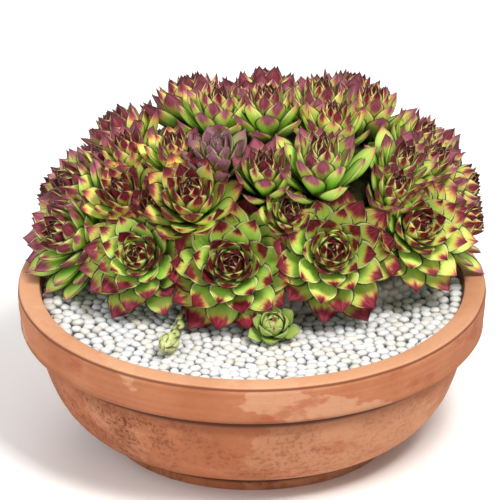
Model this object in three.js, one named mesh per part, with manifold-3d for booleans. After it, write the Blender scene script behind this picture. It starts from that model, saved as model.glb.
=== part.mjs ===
// Hens and chicks (Sempervivum) mounded up in a terracotta bowl with a white gravel top dressing.
//
// Millimetres, +Z up. The origin is the centre of the bowl's foot, on the surface it stands on, and the
// front of the planting faces -Y. Each rosette is one plant: its leaves grow from a short core whose stem
// stands in a hole in the soil mound. The leaves follow the golden angle, and each one turns up towards its
// own rosette's axis until it is clear of the neighbouring rosettes, the soil, the gravel and the rim.
import * as THREE from "three";
import { mergeVertices } from "three/addons/utils/BufferGeometryUtils.js";
import Module from "manifold-3d";

const wasm = await Module();
wasm.setup();

const RADIANS = Math.PI / 180;
const GOLDEN_ANGLE = 137.508;
const GAP = 0.35; // clearance between pieces that touch
const SLIVER = 0.4; // fused solids are simplified to this

// The bowl: an upright band round the rim that overhangs the wall, a full belly and a low foot.
const BOWL = {
  sides: 36,
  height: 102,
  rimRadius: 150,
  mouthRadius: 135.5,
  bandHeight: 27,
  bandFootRadius: 148,
  neckRadius: 137,
  bellyFootRadius: 93.5,
  bellyFullness: 0.47, // less is fuller low down
  bellyRoundness: 1.7, // more is steeper under the band
  footRadius: 91,
  footHeight: 11,
  floorHeight: 12,
  drainRadius: 9,
};

// The soil fills the bowl to soilLevel and rises in a full mound behind the middle of the bowl. The mound
// leans to the right as it rises.
const SOIL_LEVEL = 88;
const SOIL_SIDES = 24;
const MOUND = {
  centre: new THREE.Vector3(5, 38, 108),
  half: new THREE.Vector3(105, 61, 74.5),
  fullness: 2.5, // 2 would be an ellipsoid
  shear: 0.13,
  sides: 16,
  rings: 4,
};

// White gravel lies on the soil as a closed layer of rounded pebbles.
const GRAVEL = {
  pitch: 19.6, // from pebble to pebble
  valley: 92.6,
  crest: 96.4,
  crestSpread: 0.8,
  shoulder: 0.62, // share of the way from a pebble's middle to its edge that is still high
};
const GRAVEL_TOP = GRAVEL.crest + GRAVEL.crestSpread;

// A rosette sits on its stem a little above the soil or the gravel.
const STEM = { radius: 3.6, above: 2.5, below: 8, sides: 5 };
const TURN_TO_LIGHT = 0.35; // how strongly every rosette faces the front

// Every rosette: bearing round the mound from the front (degrees, + to the right), angle down from the
// mound's top, radius, how far its axis leans up from the mound's normal (degrees), and how far its leaves
// stand up (0 is open, 1 is upright).
const ROSETTES = [
  // front row, looking out over the gravel
  { name: "hen_front_left", bearing: -10.5, down: 78, radius: 46, lean: 26, upright: 0 },
  { name: "hen_front_right", bearing: 22, down: 73, radius: 46, lean: 24, upright: 0 },
  { name: "hen_left", bearing: -40, down: 78, radius: 41, lean: 22, upright: 0 },
  { name: "hen_right", bearing: 52, down: 69, radius: 41, lean: 20, upright: 0.1 },
  { name: "hen_far_left", bearing: -74, down: 82, radius: 42, lean: 18, upright: 0.2 },
  // second row
  { name: "hen_shoulder_left", bearing: -87, down: 66, radius: 37, lean: 10, upright: 0.7 },
  { name: "young_mid_outer_left", bearing: -57, down: 61, radius: 31, lean: 24, upright: 0.8 },
  { name: "young_nook_left", bearing: -41, down: 59, radius: 26, lean: 20, upright: 0.8 },
  { name: "hen_mid_left", bearing: -29, down: 57, radius: 38, lean: 28, upright: 0.8 },
  { name: "young_mid_centre", bearing: -3, down: 44, radius: 31, lean: 30, upright: 1 },
  { name: "young_nook_centre", bearing: 8, down: 58, radius: 29, lean: 26, upright: 1 },
  { name: "hen_mid_right", bearing: 22, down: 45, radius: 38, lean: 34, upright: 1 },
  // shoulders
  { name: "young_nook_right", bearing: 49, down: 57, radius: 31, lean: 26, upright: 0.9 },
  { name: "hen_shoulder_right", bearing: 61, down: 48, radius: 31, lean: 14, upright: 0.9 },
  { name: "young_crown_right", bearing: 84, down: 53, radius: 30, lean: 14, upright: 0.9 },
  { name: "hen_high_right", bearing: 97, down: 64, radius: 39, lean: 2, upright: 0.7 },
  { name: "hen_end_right", bearing: 84, down: 78, radius: 38, lean: 24, upright: 0.5 },
  { name: "hen_crown_left", bearing: -93, down: 57, radius: 28, lean: 16, upright: 0.8 },
  // top of the mound
  { name: "hen_top_left", bearing: -82, down: 49, radius: 29, lean: 18, upright: 0.9 },
  { name: "young_top_left", bearing: -54, down: 40, radius: 28, lean: 16, upright: 0.9 },
  { name: "young_top_front", bearing: -30, down: 37, radius: 29, lean: 18, upright: 0.9 },
  { name: "hen_top_back_left", bearing: -100, down: 20, radius: 33, lean: 14, upright: 0.7 },
  { name: "young_top_middle", bearing: -90, down: 3, radius: 34, lean: 4, upright: 0.7 },
  { name: "hen_top_back", bearing: 112, down: 17, radius: 35, lean: 8, upright: 0.9 },
  { name: "young_top_inner", bearing: 60, down: 22, radius: 30, lean: 8, upright: 0.9 },
  { name: "hen_top_right", bearing: 118, down: 35, radius: 32, lean: 12, upright: 0.9 },
  { name: "young_top_far_right", bearing: 104, down: 49, radius: 29, lean: 12, upright: 0.9 },
  // back
  { name: "hen_back_right", bearing: 119, down: 69, radius: 42, lean: 28, upright: 0.5 },
  { name: "hen_back", bearing: 156, down: 76, radius: 42, lean: 10, upright: 0.2 },
  { name: "hen_back_left", bearing: -168, down: 76, radius: 42, lean: 10, upright: 0.2 },
  { name: "hen_back_far_left", bearing: -140, down: 77, radius: 39, lean: 10, upright: 0.3 },
  { name: "hen_end_left", bearing: -108, down: 78, radius: 39, lean: 10, upright: 0.5 },
  { name: "young_back_high_left", bearing: -122, down: 56, radius: 35, lean: 12, upright: 0.5 },
  { name: "young_back_high_inner", bearing: -144, down: 42, radius: 37, lean: 8, upright: 0.5 },
  { name: "young_back_high", bearing: -177, down: 42, radius: 38, lean: 8, upright: 0.5 },
  { name: "young_back_high_right", bearing: 146, down: 42, radius: 38, lean: 8, upright: 0.5 },
];

// Chicks that have come down on the gravel: a young open rosette, and a closed bud on its runner.
const CHICK_STEM = 3; // from the top of the gravel
const CHICK = { name: "chick_on_gravel", x: 13.5, y: -65, radius: 18.5, lean: 36, claim: 30 };
const RUNNER = {
  name: "chick_bud_on_runner",
  // from the soil mound out over the gravel
  path: [
    [-41.5, -25.5, 105],
    [-43, -38, 104],
    [-45.5, -54, 100.8],
    [-49, -70, 100.6],
    [-52, -84, 102.8],
  ],
  radius: 1.9,
  scales: 6,
  budRadius: 10, // half its length
  holeRadius: 2.4,
  holeLength: 16,
};

// A rosette's leaves, from the outermost (first value) to the innermost (second value). Angles are in
// degrees, and lengths are shares of the rosette's radius.
const OPEN_HABIT = {
  count: [8, 12], // in the smallest and the largest rosette
  angle: [84, 10], // from the rosette's axis at the root
  openness: 1.5, // more keeps more of the leaves spread out
  curl: [24, 38], // how far the leaf curves up from root to tip
  length: [1.1, 0.52],
  widthShare: [0.64, 0.6], // of the leaf's length
  rootHeight: [0.1, 0.6],
  rootRadius: [0.14, 0.02],
  thickness: [0.055, 0.045],
};
const UPRIGHT_HABIT = {
  ...OPEN_HABIT,
  count: [7, 9],
  angle: [66, 4],
  openness: 0.9,
  curl: [26, 16],
  length: [1.28, 0.9],
  widthShare: [0.6, 0.5],
  rootHeight: [0.02, 0.4],
};
const CHICK_HABIT = {
  ...OPEN_HABIT,
  count: [12, 12],
  angle: [88, 26],
  openness: 0.8,
  curl: [36, 84],
  length: [1.04, 0.76],
  widthShare: [0.66, 0.84],
  rootHeight: [0.1, 0.2],
  rootRadius: [0.14, 0.16],
};
const COUNT_RADIUS = [16, 38]; // the smallest and the largest rosette of the counts
// Sections along a leaf: place from root to tip, and share of the full width and thickness. The innermost
// leaves have no shoulder of their own.
const LEAF_SECTIONS = [
  { along: 0, width: 0.36, thick: 0.7 },
  { along: 0.56, width: 1, thick: 1 },
  { along: 0.8, width: 0.74, thick: 0.6 },
];
const INNER_LEAF = 0.3; // leaves further in than this are the innermost
const CORE_PROFILE = [
  [0.3, 0.1],
  [0.18, 0.44],
]; // shares of the rosette's radius: radius, height
const TURN_UP_STEP = 3; // degrees that a crowded leaf turns up at a time
const TURN_UP_STEPS = 14;
const CROWDED_SHRINK = 0.965;
const CLEARANCE_STEPS = 6; // points tested between a leaf's root and its tip
const LEAF_DRAWS = 6;

// ---------------------------------------------------------------------------------------- small helpers

const mix = (a, b, t) => a + (b - a) * t;

// A seeded random number generator, from 0 to 1.
function seededRandom(seed) {
  let state = seed >>> 0;
  return () => {
    state = (state + 0x6d2b79f5) >>> 0;
    let t = Math.imul(state ^ (state >>> 15), state | 1);
    t ^= t + Math.imul(t ^ (t >>> 7), t | 61);
    return ((t ^ (t >>> 14)) >>> 0) / 4294967296;
  };
}

function toSolid(geometry) {
  const bare = geometry.clone();
  bare.deleteAttribute("normal");
  bare.deleteAttribute("uv");
  const merged = mergeVertices(bare, 1e-3);
  return new wasm.Manifold(
    new wasm.Mesh({
      numProp: 3,
      vertProperties: new Float32Array(merged.attributes.position.array),
      triVerts: new Uint32Array(merged.index.array),
    }),
  );
}

function toGeometry(solid) {
  const mesh = solid.getMesh();
  const geometry = new THREE.BufferGeometry();
  geometry.setAttribute("position", new THREE.BufferAttribute(mesh.vertProperties, 3));
  geometry.setIndex(new THREE.BufferAttribute(mesh.triVerts, 1));
  geometry.computeVertexNormals();
  return geometry;
}

// A closed solid through rings of points that all run the same way round, ending in a single point.
function loftToPoint(rings, tip) {
  const count = rings[0].length;
  const positions = rings.flat().concat([tip]).flatMap((p) => [p.x, p.y, p.z]);
  const index = [];
  for (let i = 1; i < count - 1; i += 1) index.push(0, i + 1, i);
  rings.slice(1).forEach((_, r) => {
    for (let i = 0; i < count; i += 1) {
      const a = r * count + i;
      const b = r * count + ((i + 1) % count);
      index.push(a, b, b + count, a, b + count, a + count);
    }
  });
  const last = (rings.length - 1) * count;
  for (let i = 0; i < count; i += 1) index.push(last + i, last + ((i + 1) % count), rings.length * count);
  const geometry = new THREE.BufferGeometry();
  geometry.setAttribute("position", new THREE.Float32BufferAttribute(positions, 3));
  geometry.setIndex(index);
  return geometry;
}

// A solid of revolution about Z. The profile is [radius, height] pairs, upwards on the outside.
function turned(profile, sides) {
  const geometry = new THREE.LatheGeometry(
    profile.map(([r, z]) => new THREE.Vector2(r, z)),
    sides,
  );
  return geometry.rotateX(Math.PI / 2);
}

const largestBody = (solid) => solid.decompose().sort((a, b) => b.volume() - a.volume())[0];

// Whether each edge lies between two faces only, also where two parts of the surface meet in an edge.
function hasPlainEdges(geometry) {
  const place = geometry.attributes.position.array;
  const corners = geometry.index.array;
  const key = (i) => place.slice(3 * corners[i], 3 * corners[i] + 3).join(",");
  const uses = new Map();
  for (let i = 0; i < corners.length; i += 1) {
    const next = i % 3 === 2 ? i - 2 : i + 1;
    const edge = [key(i), key(next)].sort().join("|");
    uses.set(edge, (uses.get(edge) ?? 0) + 1);
  }
  return [...uses.values()].every((count) => count === 2);
}

// The outer shell of a fused solid, without the closed hollows between its parts and without slivers. It is
// simplified less or more where that makes two parts of its surface meet in an edge.
function oneBody(solid) {
  let shell;
  [1, 0.8, 1.2, 0.6, 1.4, 0.4].find((share) => {
    const simple = largestBody(largestBody(solid).asOriginal().simplify(SLIVER * share));
    shell = largestBody(toSolid(toGeometry(simple)));
    return hasPlainEdges(toGeometry(shell));
  });
  return shell;
}

const mesh = (name, geometry, material) => {
  const made = new THREE.Mesh(geometry, material);
  made.name = name;
  return made;
};

// ---------------------------------------------------------------------------------------------- the bowl

// The inside of the bowl from the drain hole to the mouth, moved inwards by inset.
function bowlInside(inset) {
  const { floorHeight, mouthRadius, height } = BOWL;
  return [
    [84, floorHeight],
    [112, 32],
    [127, 60],
    [132, 80],
    [mouthRadius, height - 4],
  ].map(([r, z]) => [r - inset, z + (z === floorHeight ? inset : 0)]);
}

// The inside radius of the bowl at a height on its wall.
function insideRadius(z) {
  const wall = bowlInside(0);
  const above = wall.findIndex(([, height]) => height >= z);
  const [r0, z0] = wall[above - 1];
  const [r1, z1] = wall[above];
  return mix(r0, r1, (z - z0) / (z1 - z0));
}

function bowlProfile() {
  const b = BOWL;
  const bandFoot = b.height - b.bandHeight;
  // the wall bellies out from the foot to the neck under the band
  const wall = [0, 0.05, 0.15, 0.35, 0.65, 1].map((t) => [
    mix(b.bellyFootRadius, b.neckRadius, (1 - (1 - t) ** b.bellyRoundness) ** b.bellyFullness),
    mix(b.footHeight + 1, bandFoot - 0.6, t),
  ]);
  return [
    [b.drainRadius, b.floorHeight],
    [b.drainRadius, 0],
    [b.footRadius - 1.5, 0],
    [b.footRadius, 1.5],
    [b.footRadius, b.footHeight],
    ...wall,
    [b.bandFootRadius - 1.4, bandFoot],
    [b.bandFootRadius, bandFoot + 1.6],
    [b.rimRadius, b.height - 9],
    [b.rimRadius - 0.2, b.height - 2],
    [b.rimRadius - 1.8, b.height],
    [b.mouthRadius + 1.6, b.height],
    ...bowlInside(0).reverse(),
    [b.drainRadius, b.floorHeight],
  ];
}

function bowl(material) {
  return mesh("bowl", turned(bowlProfile(), BOWL.sides), material);
}

// ---------------------------------------------------------------------------------- the mound and its soil

// How far out a point lies from the middle of a body with the mound's fullness: 1 is on its surface.
function reach(x, y, z) {
  const full = MOUND.fullness;
  return (Math.abs(x) ** full + Math.abs(y) ** full + Math.abs(z) ** full) ** (1 / full);
}

// A point on the mound's surface and the mound's outward normal there.
function onMound(bearing, down) {
  const { centre, half, fullness, shear } = MOUND;
  const b = bearing * RADIANS;
  const d = down * RADIANS;
  const unit = new THREE.Vector3(Math.sin(d) * Math.sin(b), -Math.sin(d) * Math.cos(b), Math.cos(d));
  unit.divideScalar(reach(...unit));
  const slope = (v) => Math.sign(v) * Math.abs(v) ** (fullness - 1);
  const normal = new THREE.Vector3(slope(unit.x), slope(unit.y), slope(unit.z)).divide(half);
  normal.z -= shear * normal.x;
  const point = unit.multiply(half);
  point.x += shear * point.z;
  return { point: point.add(centre), normal: normal.normalize() };
}

// How far out a point lies, in mound sizes: 1 is on the mound's surface. Below its centre the mound's sides
// are upright.
function moundDistance(point, grown) {
  const { centre, half, shear } = MOUND;
  const height = Math.max(0, point.z - centre.z);
  return reach(
    (point.x - centre.x - shear * height) / (half.x + grown),
    (point.y - centre.y) / (half.y + grown),
    height / (half.z + grown),
  );
}

function moundSolid(grown) {
  const { centre, half, shear, sides, rings } = MOUND;
  const foot = (SOIL_LEVEL - centre.z - 2) / half.z;
  const profile = [
    [0, foot],
    [1, foot],
  ];
  for (let i = 0; i < rings; i += 1) {
    const a = (i / rings) * 90 * RADIANS;
    profile.push([Math.cos(a), Math.sin(a)]);
  }
  profile.push([0, 1]);
  const geometry = turned(profile, sides);
  const places = geometry.attributes.position;
  for (let i = 0; i < places.count; i += 1) {
    const p = new THREE.Vector3().fromBufferAttribute(places, i);
    const height = Math.max(0, p.z);
    const far = reach(p.x, p.y, height);
    const z = p.z > 0 ? (p.z / far) * (half.z + grown) : p.z * half.z;
    const x = (p.x / (far || 1)) * (half.x + grown) + shear * Math.max(0, z);
    const onFloor = p.x === 0 && p.y === 0 && p.z < 0;
    places.setXYZ(i, onFloor ? 0 : x, onFloor ? 0 : (p.y / (far || 1)) * (half.y + grown), z);
  }
  return toSolid(geometry.translate(centre.x, centre.y, centre.z));
}

function stemHole(place) {
  const radius = STEM.radius + GAP;
  const length = 2 * STEM.below;
  const hole = new THREE.CylinderGeometry(radius, radius, length, STEM.sides);
  hole.rotateX(Math.PI / 2).translate(0, 0, length / 2 - STEM.above - STEM.below - GAP);
  return toSolid(hole.applyMatrix4(place));
}

function soil(places, runnerHole, material) {
  const inside = bowlInside(GAP + 0.5).filter(([, z]) => z < SOIL_LEVEL - 4);
  const top = insideRadius(SOIL_LEVEL) - GAP - 0.5;
  const profile = [[0, BOWL.floorHeight + GAP + 0.5], ...inside, [top, SOIL_LEVEL], [0, SOIL_LEVEL]];
  const fill = turned(profile, SOIL_SIDES);
  const holes = places.map(stemHole);
  const solid = toSolid(fill).add(moundSolid(0)).subtract(wasm.Manifold.union([...holes, runnerHole]));
  return mesh("soil", toGeometry(solid), material);
}

// --------------------------------------------------------------------------------------------- the gravel

// One closed layer of pebbles: each pebble is a low flat-topped hump whose six corners are shared with its
// neighbours. The layer is cut to the inside of the bowl and round the mound.
function gravelLayer() {
  const random = seededRandom(77);
  const { pitch, valley, crest, crestSpread, shoulder } = GRAVEL;
  const rowStep = (pitch * Math.sqrt(3)) / 2;
  const rows = Math.ceil((BOWL.mouthRadius + pitch) / rowStep);
  const columns = Math.ceil((BOWL.mouthRadius + 2 * pitch) / pitch);
  const middles = new Map();
  for (let row = -rows; row <= rows; row += 1) {
    for (let column = -columns; column <= columns; column += 1) {
      const x = (column + (row & 1 ? 0.5 : 0)) * pitch + (random() - 0.5) * pitch * 0.34;
      const y = row * rowStep + (random() - 0.5) * pitch * 0.34;
      middles.set(`${row},${column}`, new THREE.Vector3(x, y, crest + (random() - 0.5) * 2 * crestSpread));
    }
  }
  const positions = [];
  const index = [];
  const numbered = new Map();
  const vertex = (key, make) => {
    if (!numbered.has(key)) {
      numbered.set(key, positions.length / 3);
      positions.push(...make());
    }
    return numbered.get(key);
  };
  const around = (row, column) => {
    const shift = row & 1 ? 1 : 0;
    return [
      [row, column + 1],
      [row + 1, column + shift],
      [row + 1, column + shift - 1],
      [row, column - 1],
      [row - 1, column + shift - 1],
      [row - 1, column + shift],
    ];
  };
  const floor = SOIL_LEVEL + GAP;
  for (let row = 1 - rows; row < rows; row += 1) {
    for (let column = 1 - columns; column < columns; column += 1) {
      const middle = middles.get(`${row},${column}`);
      const ring = around(row, column);
      const corners = ring.map((next, i) => {
        const three = [[row, column], next, ring[(i + 1) % 6]];
        const key = three.map((c) => c.join(",")).sort().join("|");
        const place = three.map((c) => middles.get(c.join(","))).reduce((a, b) => a.clone().add(b));
        const [x, y] = [place.x / 3, place.y / 3];
        return {
          x,
          y,
          top: vertex(`top ${key}`, () => [x, y, valley]),
          under: vertex(`under ${key}`, () => [x, y, floor]),
        };
      });
      // every other corner is rounded off at the shoulder, which leaves a three-sided crown
      const crown = [0, 2, 4].map((i) =>
        vertex(`crown ${row},${column},${i}`, () => [
          mix(middle.x, (corners[i].x + corners[i + 1].x) / 2, shoulder),
          mix(middle.y, (corners[i].y + corners[i + 1].y) / 2, shoulder),
          middle.z,
        ]),
      );
      index.push(crown[0], crown[1], crown[2]);
      [0, 1, 2].forEach((k) => {
        const a = corners[2 * k].top;
        const b = corners[2 * k + 1].top;
        const c = corners[(2 * k + 2) % 6].top;
        index.push(crown[k], a, b, crown[k], b, crown[(k + 1) % 3], crown[(k + 1) % 3], b, c);
      });
      for (let i = 1; i < 5; i += 1) index.push(corners[0].under, corners[i + 1].under, corners[i].under);
    }
  }
  // walls round the outside of the layer, on the edges that only one pebble has
  const edges = new Map();
  for (let i = 0; i < index.length; i += 3) {
    for (let k = 0; k < 3; k += 1) edges.set(`${index[i + k]},${index[i + ((k + 1) % 3)]}`, true);
  }
  const below = new Map();
  numbered.forEach((number, key) => {
    if (key.startsWith("top ")) below.set(number, numbered.get(key.replace("top", "under")));
  });
  [...edges.keys()].forEach((edge) => {
    const [a, b] = edge.split(",").map(Number);
    if (below.has(a) && below.has(b) && !edges.has(`${b},${a}`)) {
      index.push(b, a, below.get(a), b, below.get(a), below.get(b));
    }
  });
  const geometry = new THREE.BufferGeometry();
  geometry.setAttribute("position", new THREE.Float32BufferAttribute(positions, 3));
  geometry.setIndex(index);
  return toSolid(geometry);
}

function gravel(chickHole, material) {
  const top = BOWL.height - 4;
  const outline = turned(
    [
      [0, SOIL_LEVEL],
      [insideRadius(SOIL_LEVEL) - GAP, SOIL_LEVEL],
      [insideRadius(top) - GAP, top],
      [0, top],
    ],
    BOWL.sides,
  );
  const solid = gravelLayer().intersect(toSolid(outline)).subtract(moundSolid(GAP)).subtract(chickHole);
  return mesh("gravel", toGeometry(oneBody(solid)), material);
}

// --------------------------------------------------------------------------------------------- the leaves

// How strongly a rosette holds its room against its neighbours.
const claim = (r) => (r.claim ?? r.radius) ** 3;

// The rosettes with their places: matrix, axis, the middle of the space that each one fills, and its seed.
function placeRosettes() {
  const up = new THREE.Vector3(0, 0, 1);
  const placed = ROSETTES.map((r) => {
    const { point, normal } = onMound(r.bearing, r.down);
    const axis = facing(normal, r.lean);
    const habit = blendHabit(OPEN_HABIT, UPRIGHT_HABIT, r.upright);
    return { ...r, axis, habit, point: point.addScaledVector(axis, STEM.above) };
  });
  const front = new THREE.Vector3(0, -Math.sin(CHICK.lean * RADIANS), Math.cos(CHICK.lean * RADIANS));
  const onGravel = new THREE.Vector3(CHICK.x, CHICK.y, GRAVEL_TOP + CHICK_STEM);
  placed.push({ ...CHICK, point: onGravel, axis: front, habit: CHICK_HABIT });
  placed.forEach((r, i) => {
    r.seed = 101 + 17 * i;
    r.middle = r.point.clone().addScaledVector(r.axis, 0.42 * r.radius);
    r.turn = new THREE.Quaternion().setFromUnitVectors(up, r.axis);
    r.matrix = new THREE.Matrix4().compose(r.point, r.turn, new THREE.Vector3(1, 1, 1));
  });
  placed.forEach((r) => {
    r.walls = placed
      .filter((other) => other !== r && other.middle.distanceTo(r.middle) < 1.5 * (r.radius + other.radius))
      .map((other) => {
        const towards = other.middle.clone().sub(r.middle);
        const share = claim(r) / (claim(r) + claim(other));
        const through = r.middle.clone().addScaledVector(towards, share);
        return { normal: towards.normalize(), through };
      });
  });
  return placed;
}

// The way a rosette faces: the mound's normal, leaned back up and turned towards the light in front.
function facing(normal, lean) {
  const flat = new THREE.Vector2(normal.x, normal.y);
  const tilt = Math.max(0, Math.atan2(flat.length(), normal.z) - lean * RADIANS);
  flat.normalize().sub(new THREE.Vector2(0, TURN_TO_LIGHT)).setLength(Math.sin(tilt));
  return new THREE.Vector3(flat.x, flat.y, Math.cos(tilt));
}

// A habit of growth part of the way from one to another.
function blendHabit(from, to, share) {
  const blended = {};
  Object.keys(from).forEach((key) => {
    const [a, b] = [from[key], to[key]];
    blended[key] = Array.isArray(a) ? a.map((value, i) => mix(value, b[i], share)) : mix(a, b, share);
  });
  return blended;
}

const runnerCurve = new THREE.CatmullRomCurve3(RUNNER.path.map((p) => new THREE.Vector3(...p)));
const runnerPoints = runnerCurve.getSpacedPoints(24);
const runnerEnd = runnerCurve.getTangentAt(1);
const budCentre = runnerPoints[24].clone().addScaledVector(runnerEnd, 0.55 * RUNNER.budRadius);

// Whether a point of a rosette's leaf keeps clear of everything round the rosette.
function isClear(point, rosette) {
  const out = Math.hypot(point.x, point.y);
  if (out > BOWL.rimRadius - 0.4) return false;
  if (point.z < GRAVEL_TOP + GAP) return false;
  if (out > BOWL.mouthRadius - 1 && point.z < BOWL.height + GAP) return false;
  if (moundDistance(point, 0.5) < 1) return false;
  if (runnerPoints.some((p) => p.distanceTo(point) < RUNNER.radius + 2.6)) return false;
  if (budCentre.distanceTo(point) < RUNNER.budRadius + 2) return false;
  return rosette.walls.every(({ normal, through }) => point.clone().sub(through).dot(normal) < -GAP / 2);
}

// The leaf's middle line: where it is and how steep it is at each share of its length, in the upright plane
// through the rosette's axis.
function leafLine(leaf, along) {
  const steps = 12;
  let r = leaf.rootRadius;
  let h = leaf.rootHeight;
  const slope = (s) => (leaf.angle - leaf.curl * s) * RADIANS;
  for (let i = 0; i < steps; i += 1) {
    const a = slope(((i + 0.5) / steps) * along);
    r += (leaf.length * along * Math.sin(a)) / steps;
    h += (leaf.length * along * Math.cos(a)) / steps;
  }
  return { r, h, slope: slope(along) };
}

// A point of the leaf in the rosette's own frame: side is -1 to 1 across the leaf, lift is above its middle.
function leafPoint(leaf, along, side, lift) {
  const { r, h, slope } = leafLine(leaf, along);
  const out = r - lift * Math.cos(slope);
  const azimuth = leaf.azimuth * RADIANS;
  return new THREE.Vector3(
    out * Math.cos(azimuth) - side * Math.sin(azimuth),
    out * Math.sin(azimuth) + side * Math.cos(azimuth),
    h + lift * Math.sin(slope),
  );
}

// The three corners of each section (both edges and the keel underneath), and the tip.
function leafCorners(leaf) {
  const sections = leaf.isInner ? LEAF_SECTIONS.slice(0, 2) : LEAF_SECTIONS;
  const rings = sections.map(({ along, width, thick }) => {
    const half = (leaf.width * width) / 2;
    return [
      leafPoint(leaf, along, half, 0),
      leafPoint(leaf, along, -half, 0),
      leafPoint(leaf, along, 0, -leaf.thickness * thick),
    ];
  });
  return { rings, tip: leafPoint(leaf, 1, 0, 0) };
}

function isLeafClear(leaf, rosette) {
  const { rings, tip } = leafCorners(leaf);
  const points = rings.slice(1).flat().concat([tip]);
  for (let i = 2; i <= CLEARANCE_STEPS; i += 1) {
    points.push(leafPoint(leaf, i / CLEARANCE_STEPS, 0, -leaf.thickness * 0.8));
  }
  return points.every((p) => isClear(p.clone().applyMatrix4(rosette.matrix), rosette));
}

function leafCount({ radius, habit }) {
  const [small, large] = COUNT_RADIUS;
  return Math.round(mix(...habit.count, THREE.MathUtils.clamp((radius - small) / (large - small), 0, 1)));
}

// The rosette's leaves. One that meets something turns up and draws in, and one with no room is left out.
function leavesOf(rosette) {
  const { habit } = rosette;
  const random = seededRandom(rosette.seed);
  const count = leafCount(rosette);
  const start = random() * 360;
  const leaves = [];
  for (let k = 0; k < count; k += 1) {
    const f = k / (count - 1);
    const size = rosette.radius * (1 + (random() - 0.5) * 0.08);
    const inner = f ** habit.openness;
    const length = size * mix(...habit.length, inner);
    const leaf = {
      azimuth: start + k * GOLDEN_ANGLE + (random() - 0.5) * 10,
      angle: mix(...habit.angle, inner) + (random() - 0.5) * 3,
      curl: mix(...habit.curl, f),
      length,
      width: length * mix(...habit.widthShare, f),
      rootHeight: rosette.radius * mix(...habit.rootHeight, f),
      rootRadius: rosette.radius * mix(...habit.rootRadius, f),
      thickness: rosette.radius * mix(...habit.thickness, f),
      isInner: f > INNER_LEAF,
    };
    let tries = 0;
    while (!isLeafClear(leaf, rosette) && tries < TURN_UP_STEPS) {
      leaf.angle -= TURN_UP_STEP;
      leaf.length *= CROWDED_SHRINK;
      tries += 1;
    }
    if (tries < TURN_UP_STEPS) leaves.push(leaf);
  }
  return leaves;
}

// The short core that the leaves grow from, with its stem below.
function rosetteCore(radius) {
  const foot = -STEM.above - STEM.below;
  const core = turned(
    [
      [0, foot],
      [STEM.radius, foot],
      [STEM.radius, 1.4],
      ...CORE_PROFILE.map(([r, h]) => [r * radius, h * radius]),
      [0, 0.7 * radius],
    ],
    STEM.sides,
  );
  return toSolid(core);
}

// One rosette, fused. Its leaves are drawn again where two of them would meet exactly edge on edge.
function rosetteMesh(rosette, material) {
  const core = rosetteCore(rosette.radius);
  let geometry;
  for (let draw = 0; draw < LEAF_DRAWS && !(geometry && hasPlainEdges(geometry)); draw += 1) {
    const blades = leavesOf({ ...rosette, seed: rosette.seed + draw }).map((leaf) => {
      const { rings, tip } = leafCorners(leaf);
      return toSolid(loftToPoint(rings, tip));
    });
    const solid = wasm.Manifold.union([core, ...blades]).transform(rosette.matrix.elements);
    geometry = toGeometry(oneBody(solid));
  }
  return mesh(rosette.name, geometry, material);
}

// One pointed scale of the runner or of its bud: it starts at a point, runs along towards and faces outward.
function scaleLeaf(at, towards, outward, length, width, thickness) {
  const side = new THREE.Vector3().crossVectors(towards, outward).normalize();
  const place = (along, across, lift) =>
    at.clone().addScaledVector(towards, along).addScaledVector(side, across).addScaledVector(outward, lift);
  const section = (along, half, lift) => [
    place(along, half, lift),
    place(along, -half, lift),
    place(along, 0, lift + thickness),
  ];
  const rings = [section(0, width * 0.28, -thickness), section(length * 0.5, width * 0.5, 0)];
  return toSolid(loftToPoint(rings, place(length, 0, -0.1 * length)));
}

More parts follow.
